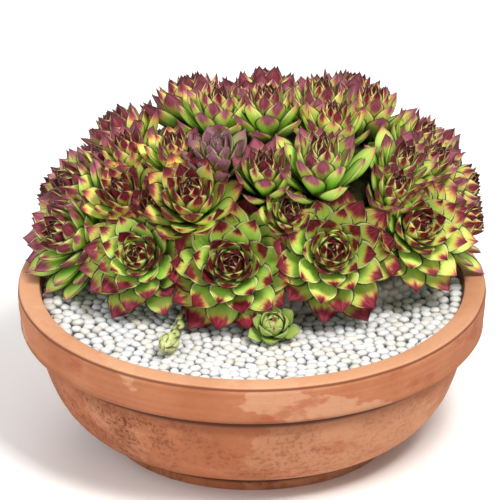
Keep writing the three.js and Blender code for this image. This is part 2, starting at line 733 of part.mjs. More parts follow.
// A closed bud at the end of its runner, both wrapped in scales.
function runnerWithBud(material) {
  const { radius, budRadius } = RUNNER;
  const section = new THREE.Shape();
  for (let i = 0; i < 6; i += 1) {
    const a = i * 60 * RADIANS;
    section[i ? "lineTo" : "moveTo"](radius * Math.cos(a), radius * Math.sin(a));
  }
  const along = { steps: 8, extrudePath: runnerCurve, bevelEnabled: false };
  const tube = new THREE.ExtrudeGeometry(section, along);
  const pieces = [toSolid(tube)];
  const frameAt = (share) => {
    const towards = runnerCurve.getTangentAt(share);
    const side = new THREE.Vector3().crossVectors(towards, new THREE.Vector3(0, 0, 1)).normalize();
    return { at: runnerCurve.getPointAt(share), towards, side, above: side.clone().cross(towards) };
  };
  const outwardAt = ({ side, above }, turn) =>
    side.clone().multiplyScalar(Math.cos(turn * RADIANS)).addScaledVector(above, Math.sin(turn * RADIANS));
  for (let i = 0; i < RUNNER.scales; i += 1) {
    const frame = frameAt(mix(0.32, 0.84, i / (RUNNER.scales - 1)));
    const outward = outwardAt(frame, i % 2 ? 38 : 142);
    const at = frame.at.clone().addScaledVector(outward, radius * 0.5);
    pieces.push(scaleLeaf(at, frame.towards, outward, 13, 7.4, 1.6));
  }
  const end = frameAt(1);
  const bud = new THREE.SphereGeometry(1, 8, 5).scale(budRadius * 0.54, budRadius * 0.54, budRadius);
  const turn = new THREE.Quaternion().setFromUnitVectors(new THREE.Vector3(0, 0, 1), end.towards);
  pieces.push(toSolid(bud.applyQuaternion(turn).translate(...budCentre.toArray())));
  [
    { count: 5, start: 18, back: 0.8, out: 0.32, inwards: -0.12 },
    { count: 5, start: 54, back: 0.2, out: 0.49, inwards: 0.26 },
  ].forEach(({ count, start, back, out, inwards }) => {
    for (let i = 0; i < count; i += 1) {
      const outward = outwardAt(end, start + (i * 360) / count);
      const at = budCentre.clone().addScaledVector(end.towards, -back * budRadius);
      const towards = end.towards.clone().addScaledVector(outward, -inwards).normalize();
      const facing = outward.clone().addScaledVector(towards, -outward.dot(towards)).normalize();
      at.addScaledVector(outward, out * budRadius);
      pieces.push(scaleLeaf(at, towards, facing, budRadius * 1.2, budRadius * 0.7, 1.1));
    }
  });
  return mesh(RUNNER.name, toGeometry(oneBody(wasm.Manifold.union(pieces))), material);
}

function runnerHole() {
  const { holeRadius, holeLength } = RUNNER;
  const hole = new THREE.CylinderGeometry(holeRadius, holeRadius, holeLength, 8);
  const outwards = runnerCurve.getTangentAt(0);
  hole.applyQuaternion(new THREE.Quaternion().setFromUnitVectors(new THREE.Vector3(0, 1, 0), outwards));
  const middle = runnerCurve.getPointAt(0).addScaledVector(outwards, holeLength / 2 - 3);
  return toSolid(hole.translate(...middle.toArray()));
}

// ------------------------------------------------------------------------------------------- the planting

const surface = (color, roughness) => new THREE.MeshStandardMaterial({ color, roughness, metalness: 0 });
const terracotta = surface(0xb9683f, 0.85);
const compost = surface(0x2c211a, 0.95);
const whiteStone = surface(0xe9e7e2, 0.7);
const leafGreen = surface(0x86a53a, 0.45);
const budGreen = surface(0xb4b56a, 0.5);

const planting = new THREE.Group();
const rosettes = placeRosettes();
const chick = rosettes.find((r) => r.name === CHICK.name);
planting.add(bowl(terracotta));
planting.add(soil(rosettes.map((r) => r.matrix), runnerHole(), compost));
planting.add(gravel(stemHole(chick.matrix), whiteStone));
rosettes.forEach((r) => planting.add(rosetteMesh(r, leafGreen)));
planting.add(runnerWithBud(budGreen));

export default planting;
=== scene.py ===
"""Hens and chicks (Sempervivum) mounded up in a terracotta bowl with a white gravel top dressing.

Every planted rosette follows the same rule as its solid: leaves at the golden angle on a short core, each
one turned up until it is clear of the neighbouring rosettes, the soil, the gravel and the rim. Here each
rosette has many more leaves, with a true leaf outline, a keel, cilia and colour. Lengths are in
millimetres until a mesh is made, and +Z is up. The front of the planting faces -Y.
"""
import math

import bpy
import numpy as np
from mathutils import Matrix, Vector, noise


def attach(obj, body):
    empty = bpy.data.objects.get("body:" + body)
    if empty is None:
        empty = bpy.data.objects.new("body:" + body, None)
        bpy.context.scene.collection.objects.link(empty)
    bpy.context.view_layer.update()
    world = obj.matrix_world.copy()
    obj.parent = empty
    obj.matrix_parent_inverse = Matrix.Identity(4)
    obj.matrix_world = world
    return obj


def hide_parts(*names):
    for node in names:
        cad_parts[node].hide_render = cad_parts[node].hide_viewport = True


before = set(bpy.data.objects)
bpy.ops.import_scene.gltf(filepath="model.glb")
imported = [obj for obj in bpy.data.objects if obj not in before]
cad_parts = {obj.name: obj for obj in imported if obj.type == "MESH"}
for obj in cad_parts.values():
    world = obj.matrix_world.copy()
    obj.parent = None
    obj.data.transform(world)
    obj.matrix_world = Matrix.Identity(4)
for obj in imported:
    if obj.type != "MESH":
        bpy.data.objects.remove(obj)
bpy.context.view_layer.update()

MILLIMETRE = 0.001
GOLDEN_ANGLE = 137.508
GAP = 0.35  # what leaves keep from the gravel and the rim

# ---- measurements ----

BOWL = {
    "height": 102.0,
    "rim_radius": 150.0,
    "mouth_radius": 135.5,
    "band_height": 27.0,
    "band_foot_radius": 148.0,
    "neck_radius": 137.0,
    "belly_foot_radius": 93.5,
    "belly_fullness": 0.47,
    "belly_roundness": 1.7,
    "foot_radius": 91.0,
    "foot_height": 11.0,
    "floor_height": 12.0,
    "drain_radius": 9.0,
    "belly_spacing": 1.7,  # more draws the belly's points closer together low down
    "inside": [(84.0, 12.0), (112.0, 32.0), (127.0, 60.0), (132.0, 80.0), (135.5, 98.0)],
}
SOIL_LEVEL = 88.0
SOIL_FLOOR = 14.0
SOIL_GAP = 1.2  # between the soil and the bowl's wall
GRAVEL_TOP = 97.2
BED_LEVEL = 88.9  # the middles of the lower pebbles
PEBBLE_LEVEL = 93.0  # the middles of the pebbles that show
PEBBLE_REACH = 4.2  # how far the pebbles' middles keep from the wall
SCATTER_ROUNDS = 60  # how often the pebbles are shaken apart
MOUND_CENTRE = np.array([5.0, 38.0, 108.0])
MOUND_HALF = np.array([105.0, 61.0, 74.5])
MOUND_FULLNESS = 2.5  # 2 is an ellipsoid, and more is squarer
MOUND_SHEAR = 0.13  # how far the mound leans to the right, as a share of its height
MOUND_OFF = 2.5  # how far the gravel's layers keep off the mound
TURN_TO_LIGHT = 0.35  # how strongly every rosette turns to the front
STEM_ABOVE = 2.5  # how far a rosette's middle stands off the mound
STEM_BELOW = 5.0
STEM_RADIUS = 3.6

# Name, bearing round the mound, angle down from its top, radius, lean back from the mound's normal, and
# four shares from 0 to 1: how far its leaves stand up, warmth (yellow and orange in the leaf), mauve bloom,
# and red blush.
ROSETTES = [
    ("hen_front_left", -10.5, 78, 46, 26, 0.0, 0.12, 0.05, 0.50),
    ("hen_front_right", 22, 73, 46, 24, 0.0, 0.20, 0.10, 0.42),
    ("hen_left", -40, 78, 41, 22, 0.0, 0.10, 0.15, 0.46),
    ("hen_right", 52, 69, 41, 20, 0.1, 0.28, 0.15, 0.32),
    ("hen_far_left", -74, 82, 42, 18, 0.2, 0.05, 0.66, 0.36),
    ("hen_shoulder_left", -87, 66, 37, 10, 0.7, 0.08, 0.72, 0.42),
    ("young_mid_outer_left", -57, 61, 31, 24, 0.8, 0.50, 0.15, 0.52),
    ("young_nook_left", -41, 59, 26, 20, 0.8, 0.45, 0.20, 0.45),
    ("hen_mid_left", -29, 57, 38, 28, 0.8, 0.40, 0.15, 0.45),
    ("young_mid_centre", -3, 44, 31, 30, 1.0, 0.20, 0.45, 0.50),
    ("young_nook_centre", 8, 58, 29, 26, 1.0, 0.15, 0.30, 0.45),
    ("hen_mid_right", 22, 45, 38, 34, 1.0, 0.10, 0.60, 0.28),
    ("young_nook_right", 49, 57, 31, 26, 0.9, 0.25, 0.40, 0.40),
    ("hen_shoulder_right", 61, 48, 31, 14, 0.9, 0.15, 0.50, 0.40),
    ("young_crown_right", 84, 53, 30, 14, 0.9, 0.25, 0.50, 0.42),
    ("hen_high_right", 97, 64, 39, 2, 0.7, 0.20, 0.60, 0.40),
    ("hen_end_right", 84, 78, 38, 24, 0.5, 0.30, 0.50, 0.45),
    ("hen_crown_left", -93, 57, 28, 16, 0.8, 0.12, 0.72, 0.42),
    ("hen_top_left", -82, 49, 29, 18, 0.9, 0.45, 0.50, 0.42),
    ("young_top_left", -54, 40, 28, 16, 0.9, 0.45, 0.30, 0.36),
    ("young_top_front", -30, 37, 29, 18, 0.9, 0.10, 0.95, 0.60),
    ("hen_top_back_left", -100, 20, 33, 14, 0.7, 0.25, 0.70, 0.32),
    ("young_top_middle", -90, 3, 34, 4, 0.7, 0.22, 0.70, 0.30),
    ("hen_top_back", 112, 17, 35, 8, 0.9, 0.25, 0.70, 0.32),
    ("young_top_inner", 60, 22, 30, 8, 0.9, 0.40, 0.30, 0.32),
    ("hen_top_right", 118, 35, 32, 12, 0.9, 0.35, 0.60, 0.36),
    ("young_top_far_right", 104, 49, 29, 12, 0.9, 0.20, 0.72, 0.38),
    ("hen_back_right", 119, 69, 42, 28, 0.5, 0.35, 0.45, 0.55),
    ("hen_back", 156, 76, 42, 10, 0.2, 0.30, 0.25, 0.55),
    ("hen_back_left", -168, 76, 42, 10, 0.2, 0.40, 0.20, 0.55),
    ("hen_back_far_left", -140, 77, 39, 10, 0.3, 0.25, 0.40, 0.60),
    ("hen_end_left", -108, 78, 39, 10, 0.5, 0.15, 0.50, 0.60),
    ("young_back_high_left", -122, 56, 35, 12, 0.5, 0.45, 0.40, 0.60),
    ("young_back_high_inner", -144, 42, 37, 8, 0.5, 0.35, 0.35, 0.60),
    ("young_back_high", -177, 42, 38, 8, 0.5, 0.45, 0.30, 0.55),
    ("young_back_high_right", 146, 42, 38, 8, 0.5, 0.40, 0.50, 0.60),
]
CHICK = {"name": "chick_on_gravel", "x": 13.5, "y": -65.0, "radius": 18.5, "lean": 36.0, "claim": 30.0}
CHICK_STEM = 3.0
RUNNER_PATH = [
    (-41.5, -25.5, 105.0),
    (-43.0, -38.0, 104.0),
    (-45.5, -54.0, 100.8),
    (-49.0, -70.0, 100.6),
    (-52.0, -84.0, 102.8),
]
RUNNER_RADIUS = 1.9
BUD_RADIUS = 10.0  # half its length
BUD_MIDDLE = 0.55 * BUD_RADIUS  # past the runner's end
# How far the rosettes' leaves keep off the runner's surface and the bud.
OFF_RUNNER = 2.6
OFF_BUD = 2.0

# A rosette's leaves, from the outermost (first value) to the innermost (second value).
HEN_LEAF = {
    "count": (28, 54),  # in the smallest and the largest rosette
    "angle": (86.0, 8.0),
    "openness": 1.25,
    "curl": (22.0, 40.0),
    "length": (1.06, 0.40),
    "width": (0.50, 0.58),  # share of the length
    "root_height": (0.10, 0.52),
    "root_radius": (0.14, 0.02),
    "thickness": (0.085, 0.060),
    "cup": (0.18, 0.36),  # how far the edges stand up, as a share of the half width
    "cilia": 13,
}
# What differs in a rosette whose leaves stand up.
UPRIGHT_LEAF = {
    "count": (20, 38),
    "angle": (60.0, 4.0),
    "openness": 0.80,
    "curl": (24.0, 14.0),
    "length": (1.20, 0.86),
    "width": (0.43, 0.41),
    "root_height": (0.02, 0.40),
}
INTERLOCK = 6.0  # how far leaf tips reach in among a neighbour's leaves
NEIGHBOUR_REACH = 1.5  # how far apart two rosettes still meet, as a share of their radii together
CLAIM_POWER = 3  # how strongly the larger of two rosettes takes the room between them
ROSETTE_MIDDLE = 0.42  # how far up its axis a rosette's middle is, as a share of its radius
# Where the random draws start: the first rosette's and the step to the next, their hairs', the bud's scales'
# and the pebbles'.
SEEDS = {"rosette": 101, "next": 17, "hairs": 7000, "bud": 909, "pebbles": 31}
CHICK_LEAF = {
    "count": (18, 18),
    "angle": (90.0, 26.0),
    "openness": 0.80,
    "curl": (36.0, 84.0),
    "length": (1.02, 0.76),
    "width": (0.66, 0.84),
    "root_height": (0.10, 0.20),
    "root_radius": (0.12, 0.16),
    "thickness": (0.12, 0.09),
    "cup": (0.26, 0.50),
    "cilia": 0,
}
COUNT_RADIUS = (16.0, 38.0)  # the smallest and the largest rosette of the counts
# How unlike its rule a leaf may be: shares of its size and length, and degrees.
SHAKE = {"size": 0.08, "azimuth": 10, "angle": 3, "sway": 0.10}
# The leaf's outline: share of its full width at shares of its length, with the shoulder past the middle.
OUTLINE_ALONG = np.array([0.0, 0.10, 0.24, 0.38, 0.50, 0.60, 0.69, 0.77, 0.845, 0.91, 0.96])
OUTLINE_WIDTH = np.array([0.36, 0.44, 0.61, 0.80, 0.94, 1.0, 0.96, 0.83, 0.60, 0.29, 0.09])
OUTLINE_THICK = np.array([0.70, 0.80, 0.95, 1.0, 1.0, 0.95, 0.86, 0.72, 0.55, 0.36, 0.18])
# One turn round the leaf: across from edge to edge over the face, then back over the keel.
TURN_ACROSS = np.array([1.0, 0.78, 0.42, 0.0, -0.42, -0.78, -1.0, -0.66, -0.33, 0.0, 0.33, 0.66])
TURN_IS_BACK = np.array([0.5, 0.0, 0.0, 0.0, 0.0, 0.0, 0.5, 1.0, 1.0, 1.0, 1.0, 1.0])
FACE_RISE = 0.22  # the face's bulge as a share of the thickness
TURN_UP_STEP = 4.0  # degrees
TURN_UP_STEPS = 14
CROWDED_SHRINK = 0.985  # how much shorter a leaf gets at each step up
# A pointed scale of the bud or its runner: its width at shares of its length.
SCALE_ALONG = np.array([0.0, 0.16, 0.34, 0.52, 0.68, 0.82, 0.93])
SCALE_WIDTH = np.array([0.62, 0.84, 0.98, 1.0, 0.84, 0.54, 0.24])
RUNNER_SCALES = 6
# The bud's rings of scales, from the innermost: how many, where they start and end (degrees down from the
# far end), and how far they stand off.
BUD_RINGS = [
    (3, 78, 178, 0.0),
    (4, 62, 166, 0.16),
    (5, 44, 150, 0.30),
    (5, 26, 128, 0.44),
    (4, 10, 98, 0.56),
]

# ---- small helpers ----


def mix(a, b, t):
    return a + (b - a) * t


def unit(vector):
    return vector / np.linalg.norm(vector)


def unit_rows(vectors):
    return vectors / np.linalg.norm(vectors, axis=1)[:, None]


def seeded_random(seed):
    """A seeded random number generator, from 0 to 1, that draws what the solids draw."""
    state = seed

    def draw():
        nonlocal state
        state = (state + 0x6D2B79F5) & 0xFFFFFFFF
        t = ((state ^ (state >> 15)) * (state | 1)) & 0xFFFFFFFF
        t ^= (t + (((t ^ (t >> 7)) * (t | 61)) & 0xFFFFFFFF)) & 0xFFFFFFFF
        return (t ^ (t >> 14)) / 4294967296

    return draw


def colour(code):
    """A hex colour as linear light with full alpha."""
    parts = [int(code[i : i + 2], 16) / 255 for i in (0, 2, 4)]
    return tuple(c / 12.92 if c <= 0.04045 else ((c + 0.055) / 1.055) ** 2.4 for c in parts) + (1.0,)


def turn_to(axis):
    """The rotation that takes +Z to an axis by the shortest way."""
    return np.array(Vector((0, 0, 1)).rotation_difference(Vector(axis)).to_matrix())


def across_and_above(along):
    """The level direction across another one, and the direction square to both."""
    side = unit(np.cross(along, (0.0, 0.0, 1.0)))
    return side, np.cross(side, along)


def outward_at(turn, side, above):
    return math.cos(turn) * side + math.sin(turn) * above


def add_object(name, data):
    made = bpy.data.objects.new(name, data)
    bpy.context.scene.collection.objects.link(made)
    return made


class Shell:
    """Points, faces and per-point values that are gathered into one mesh."""

    def __init__(self):
        self.points = []
        self.faces = []
        self.values = {}
        self.count = 0

    def add(self, points, faces, **values):
        self.points.append(points)
        self.faces.extend([tuple(i + self.count for i in face) for face in faces])
        for name, value in values.items():
            spread = np.broadcast_to(np.asarray(value, float), (len(points), 3))
            self.values.setdefault(name, []).append(spread)
        self.count += len(points)

    def to_piece(self, name, material, replaced):
        mesh = bpy.data.meshes.new(name)
        mesh.from_pydata((np.concatenate(self.points) * MILLIMETRE).tolist(), [], self.faces)
        for value_name, value in self.values.items():
            attribute = mesh.attributes.new(value_name, "FLOAT_VECTOR", "POINT")
            attribute.data.foreach_set("vector", np.concatenate(value).astype(np.float32).ravel())
        mesh.shade_smooth()
        mesh.materials.append(material)
        piece = add_object(name, mesh)
        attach(piece, "root")
        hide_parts(replaced)
        return piece


def ring_faces(rings, around):
    """Faces between rings of points that follow one another."""
    faces = []
    for ring in range(rings - 1):
        for i in range(around):
            a = ring * around + i
            b = ring * around + (i + 1) % around
            faces.append((a, b, b + around, a + around))
    return faces


def fan_faces(start, around, tip, outward=True):
    """Faces from a ring of points to one tip point."""
    faces = [(start + i, start + (i + 1) % around, tip) for i in range(around)]
    return faces if outward else [(b, a, c) for a, b, c in faces]


def tube_faces(rings, around):
    """Faces of a tube through rings of points, closed at its start, with a tip point that comes last."""
    last = (rings - 1) * around
    faces = ring_faces(rings, around) + fan_faces(last, around, rings * around)
    return faces + [tuple(reversed(range(around)))]


def turned_shell(profile, around):
    """Points and faces of a closed profile of (radius, height) pairs, turned about +Z."""
    profile = np.array(profile)
    angles = np.arange(around) * 2 * math.pi / around
    points = np.empty((around, len(profile), 3))
    points[:, :, 0] = np.cos(angles)[:, None] * profile[:, 0]
    points[:, :, 1] = np.sin(angles)[:, None] * profile[:, 0]
    points[:, :, 2] = profile[:, 1]
    total = around * len(profile)
    faces = [(a, d % total, c % total, b) for a, b, c, d in ring_faces(around + 1, len(profile))]
    return points.reshape(-1, 3), faces


# ---- node helpers ----


SOCKET_KINDS = {"Place": "NodeSocketVector", "Color": "NodeSocketColor"}  # the others carry a number


class Paint:
    """Lays out and joins the nodes of one material or group."""

    def __init__(self, tree):
        self.tree = tree

    def node(self, kind, *inputs, **settings):
        made = self.tree.nodes.new("ShaderNode" + kind)
        for key, value in settings.items():
            setattr(made, key, value)
        for i, value in enumerate(inputs):
            self.feed(value, made.inputs[i])
        return made

    def feed(self, value, socket):
        if value is None:
            return
        if isinstance(value, bpy.types.NodeSocket):
            self.tree.links.new(value, socket)
        else:
            socket.default_value = value

    def maths(self, operation, *inputs, clamp=False):
        return self.node("Math", *inputs, operation=operation, use_clamp=clamp).outputs[0]

    def times(self, a, b, clamp=False):
        return self.maths("MULTIPLY", a, b, clamp=clamp)

    def minus(self, a, b, clamp=False):
        return self.maths("SUBTRACT", a, b, clamp=clamp)

    def scaled(self, value, scale, offset):
        """The value times a scale, plus an offset."""
        return self.maths("MULTIPLY_ADD", value, scale, offset)

    def step(self, value, low, high):
        """0 below low, 1 above high, smooth between."""
        made = self.node("MapRange", value, low, high, 0.0, 1.0, interpolation_type="SMOOTHSTEP")
        return made.outputs[0]

    def fall(self, value, low, high):
        """1 below low, 0 above high, smooth between."""
        return self.step(self.times(value, -1.0), -high, -low)

    def blend(self, factor, under, over, mode="MIX"):
        made = self.node("Mix", data_type="RGBA", blend_type=mode)
        self.feed(factor, made.inputs[0])
        self.feed(under, made.inputs[6])
        self.feed(over, made.inputs[7])
        return made.outputs[2]

    def coat(self, skin, code, mask, share=None):
        """Lays a hex colour over a colour where a mask is, at a share of its strength."""
        return self.blend(mask if share is None else self.times(mask, share), skin, colour(code))

    def shade(self, skin, value):
        """A colour made darker or lighter by a value."""
        grey = self.node("CombineColor", value, value, value).outputs[0]
        return self.blend(1.0, skin, grey, "MULTIPLY")

    def ramp(self, value, *stops):
        made = self.node("ValToRGB", value)
        elements = made.color_ramp.elements
        while len(elements) < len(stops):
            elements.new(0.5)
        for element, (place, code) in zip(elements, stops):
            element.position = place
            element.color = colour(code)
        return made.outputs[0]

    def vector(self, x, y, z):
        return self.node("CombineXYZ", x, y, z).outputs[0]

    def named(self, kind, **inputs):
        """The first output of a node whose inputs are given by name."""
        made = self.node(kind)
        for name, value in inputs.items():
            self.feed(value, made.inputs[name])
        return made.outputs[0]

    def noise(self, place, scale, detail=3.0, roughness=0.55):
        return self.named("TexNoise", Vector=place, Scale=scale, Detail=detail, Roughness=roughness)

    def bump(self, height, strength, distance, under=None):
        return self.named("Bump", Strength=strength, Distance=distance, Height=height, Normal=under)

    def stretched(self, place, x, y, z):
        """A place drawn out or squeezed along each direction."""
        return self.node("VectorMath", place, (x, y, z), operation="MULTIPLY").outputs[0]

    def place(self):
        """Where a point of the surface is in the object, in metres."""
        return self.node("TexCoord").outputs["Object"]

    def parts(self, attribute):
        made = self.node("Attribute", attribute_name=attribute)
        return self.node("SeparateXYZ", made.outputs["Vector"]).outputs

    def effect(self, name, *inputs):
        """What a shared effect puts out, from its inputs in their order."""
        outputs = self.node("Group", *inputs, node_tree=EFFECTS[name]).outputs
        return outputs[0] if len(outputs) == 1 else outputs


def new_group(name, inputs, *outputs):
    """An empty shader node group with named sockets, its inputs with their values."""
    tree = bpy.data.node_groups.new(name, "ShaderNodeTree")

    def add_socket(socket, side):
        kind = SOCKET_KINDS.get(socket, "NodeSocketFloat")
        return tree.interface.new_socket(socket, in_out=side, socket_type=kind)

    for socket, value in inputs.items():
        made = add_socket(socket, "INPUT")
        if value is not None:
            made.default_value = value
    for socket in outputs:
        add_socket(socket, "OUTPUT")
    inside = tree.nodes.new("NodeGroupInput")
    outside = tree.nodes.new("NodeGroupOutput")
    return tree, Paint(tree), inside.outputs, outside.inputs


# ---- where the rosettes stand ----


def reach(x, y, z):
    """How far out a place is, in mound sizes, when its parts are given in half sizes of the mound."""
    full = MOUND_FULLNESS
    return (abs(x) ** full + abs(y) ** full + abs(z) ** full) ** (1 / full)


def on_mound(bearing, down):
    """A point on the mound's surface and the mound's outward normal there."""
    b = math.radians(bearing)
    d = math.radians(down)
    way = np.array([math.sin(d) * math.sin(b), -math.sin(d) * math.cos(b), math.cos(d)])
    way /= reach(*way)
    normal = np.sign(way) * np.abs(way) ** (MOUND_FULLNESS - 1) / MOUND_HALF
    normal[2] -= MOUND_SHEAR * normal[0]
    point = way * MOUND_HALF
    point[0] += MOUND_SHEAR * point[2]
    return point + MOUND_CENTRE, unit(normal)


def mound_distance(points, grown):
    """How far out points lie, in mound sizes: 1 is on the mound's surface."""
    away = points - MOUND_CENTRE
    height = np.maximum(0, away[:, 2])
    half = MOUND_HALF + grown
    return reach((away[:, 0] - MOUND_SHEAR * height) / half[0], away[:, 1] / half[1], height / half[2])


def lean_up(normal, degrees):
    """The way a rosette faces: the mound's normal, leaned back up and turned towards the light in front."""
    flat = math.hypot(normal[0], normal[1])
    tilt = max(0.0, math.atan2(flat, normal[2]) - math.radians(degrees))
    facing = unit(normal[:2] / flat - (0.0, TURN_TO_LIGHT))
    return np.array([*facing * math.sin(tilt), math.cos(tilt)])


def runner_curve(steps):
    """Points spaced evenly along the runner, and its direction at each of them."""
    knots = np.array(RUNNER_PATH)
    ends = [2 * knots[0] - knots[1], *knots, 2 * knots[-1] - knots[-2]]
    fine = []
    for a, b, c, d in zip(ends, ends[1:], ends[2:], ends[3:]):
        for t in np.linspace(0, 1, 24, endpoint=False):
            bend = 2 * a - 5 * b + 4 * c - d
            fine.append(0.5 * (2 * b + (c - a) * t + bend * t**2 + (3 * b - a - 3 * c + d) * t**3))
    fine.append(knots[-1])
    fine = np.array(fine)
    length = np.concatenate([[0], np.cumsum(np.linalg.norm(np.diff(fine, axis=0), axis=1))])
    places = np.linspace(0, length[-1], steps + 1)
    points = np.stack([np.interp(places, length, fine[:, k]) for k in range(3)], axis=1)
    return points, unit_rows(np.gradient(points, axis=0))


def blend_habit(habit, other, share):
    """A habit of growth part of the way from one to another."""
    blended = dict(habit)
    for key, value in other.items():
        if isinstance(value, tuple):
            blended[key] = tuple(mix(a, b, share) for a, b in zip(habit[key], value))
        else:
            blended[key] = mix(habit[key], value, share)
    return blended


def place_rosettes():
    """Every rosette with its place, its turn, its walls against its neighbours and its colouring."""
    placed = []
    for name, bearing, down, radius, lean, upright, warmth, mauve, blush in ROSETTES:
        point, normal = on_mound(bearing, down)
        axis = lean_up(normal, lean)
        place = {"name": name, "radius": radius, "claim": radius, "axis": axis}
        place["point"] = point + axis * STEM_ABOVE
        place["nature"] = (warmth, mauve, blush)
        place["habit"] = blend_habit(HEN_LEAF, UPRIGHT_LEAF, upright)
        placed.append(place)
    tilt = math.radians(CHICK["lean"])
    chick = dict(CHICK, nature=(0.15, 0.1, 0.1), habit=CHICK_LEAF)
    chick["axis"] = np.array([0.0, -math.sin(tilt), math.cos(tilt)])
    chick["point"] = np.array([CHICK["x"], CHICK["y"], GRAVEL_TOP + CHICK_STEM])
    placed.append(chick)
    for i, rosette in enumerate(placed):
        rosette["seed"] = SEEDS["rosette"] + SEEDS["next"] * i
        rosette["middle"] = rosette["point"] + rosette["axis"] * ROSETTE_MIDDLE * rosette["radius"]
        rosette["turn"] = turn_to(rosette["axis"])
    for rosette in placed:
        rosette["walls"] = walls_of(rosette, placed)
    return placed


def walls_of(rosette, placed):
    """The planes that keep a rosette from its neighbours: their normals and how far out each lies."""
    normals = []
    limits = []
    for other in placed:
        towards = other["middle"] - rosette["middle"]
        distance = np.linalg.norm(towards)
        if other is rosette or distance >= NEIGHBOUR_REACH * (rosette["radius"] + other["radius"]):
            continue
        own = rosette["claim"] ** CLAIM_POWER
        share = own / (own + other["claim"] ** CLAIM_POWER)
        normals.append(towards / distance)
        limits.append(np.dot(rosette["middle"], normals[-1]) + share * distance + INTERLOCK)
    return np.array(normals), np.array(limits)


# ---- the leaves ----


def leaf_points(leaf, along, side, lift):
    """Points of a leaf in its rosette's own frame: side is across the leaf, lift is above its middle."""
    angle = math.radians(leaf["angle"])
    curl = math.radians(leaf["curl"])
    slope = angle - curl * along
    r = leaf["root_radius"] + leaf["length"] / curl * (np.cos(slope) - math.cos(angle))
    h = leaf["root_height"] + leaf["length"] / curl * (math.sin(angle) - np.sin(slope))
    out = r - lift * np.cos(slope)
    azimuth = math.radians(leaf["azimuth"])
    x = out * math.cos(azimuth) - side * math.sin(azimuth)
    y = out * math.sin(azimuth) + side * math.cos(azimuth)
    return np.stack(np.broadcast_arrays(x, y, h + lift * np.sin(slope)), axis=-1)


def is_leaf_clear(leaf, rosette, keep_out):
    """Whether the leaf's edges, keel and tip keep clear of everything round the rosette."""
    half = leaf["width"] / 2
    # both edges at two places, the tip, and the keel at four places
    along = np.array([0.56, 0.56, 0.8, 0.8, 1.0, 0.33, 0.5, 0.67, 0.83])
    side = np.array([half, -half, 0.7 * half, -0.7 * half, 0, 0, 0, 0, 0])
    lift = np.array([0, 0, 0, 0, 0, -0.7, -0.8, -0.8, -0.7]) * leaf["thickness"]
    points = leaf_points(leaf, along, side, lift) @ rosette["turn"].T + rosette["point"]
    out = np.hypot(points[:, 0], points[:, 1])
    if out.max() > BOWL["rim_radius"] - 0.4 or points[:, 2].min() < GRAVEL_TOP + GAP:
        return False
    if ((out > BOWL["mouth_radius"] - 1) & (points[:, 2] < BOWL["height"] + GAP)).any():
        return False
    if mound_distance(points, 0.5).min() < 1:
        return False
    for middles, distance in keep_out:
        if np.linalg.norm(points[:, None] - middles[None], axis=2).min() < distance:
            return False
    normals, limits = rosette["walls"]
    return bool((points @ normals.T < limits).all())


def leaves_of(rosette, keep_out):
    """The rosette's leaves. One that meets something turns up and draws in."""
    draw = seeded_random(rosette["seed"])
    habit = rosette["habit"]
    small, large = COUNT_RADIUS
    radius = rosette["radius"]
    grown = min(1.0, max(0.0, (radius - small) / (large - small)))
    count = round(mix(*habit["count"], grown))
    start = draw() * 360
    leaves = []
    for k in range(count):
        f = k / (count - 1)
        size = radius * (1 + (draw() - 0.5) * SHAKE["size"])
        inner = f ** habit["openness"]
        leaf = {key: mix(*habit[key], f) for key in ("curl", "cup")}
        for key in ("root_height", "root_radius", "thickness"):
            leaf[key] = radius * mix(*habit[key], f)
        leaf["azimuth"] = start + k * GOLDEN_ANGLE + (draw() - 0.5) * SHAKE["azimuth"]
        leaf["angle"] = mix(*habit["angle"], inner) + (draw() - 0.5) * SHAKE["angle"]
        leaf["length"] = size * mix(*habit["length"], inner)
        leaf["width"] = leaf["length"] * mix(*habit["width"], f)
        leaf["age"] = f
        leaf["tone"] = draw()
        leaf["sway"] = (draw() - 0.5) * SHAKE["sway"]
        tries = 0
        while tries < TURN_UP_STEPS and not is_leaf_clear(leaf, rosette, keep_out):
            leaf["angle"] -= TURN_UP_STEP
            leaf["length"] *= CROWDED_SHRINK
            tries += 1
        if tries < TURN_UP_STEPS:
            leaves.append(leaf)
    return leaves


def leaf_shell(leaf):
    """Points of one leaf round its sections, its tip last, and (along, across, back) at each of them."""
    along = OUTLINE_ALONG[:, None]
    across = TURN_ACROSS[None, :]
    back = TURN_IS_BACK[None, :]
    half = leaf["width"] / 2 * OUTLINE_WIDTH[:, None]
    thick = leaf["thickness"] * OUTLINE_THICK[:, None]
    face = FACE_RISE * thick * (1 - across**2)
    keel = -thick * (1 - np.abs(across) ** 1.5)
    lift = leaf["cup"] * half * across**2 + np.where(back > 0.75, keel, face)
    lift = np.where((back > 0.25) & (back < 0.75), leaf["cup"] * half, lift)
    side = half * across + leaf["sway"] * leaf["length"] * along**2
    points = leaf_points(leaf, along, side, lift).reshape(-1, 3)
    tip = leaf_points(leaf, np.array([1.0]), leaf["sway"] * leaf["length"], 0.12 * leaf["thickness"])
    place = np.stack(np.broadcast_arrays(along, across * 0.5 + 0.5, back), axis=-1).reshape(-1, 3)
    return np.concatenate([points, tip]), np.concatenate([place, [[1.0, 0.5, 0.5]]])


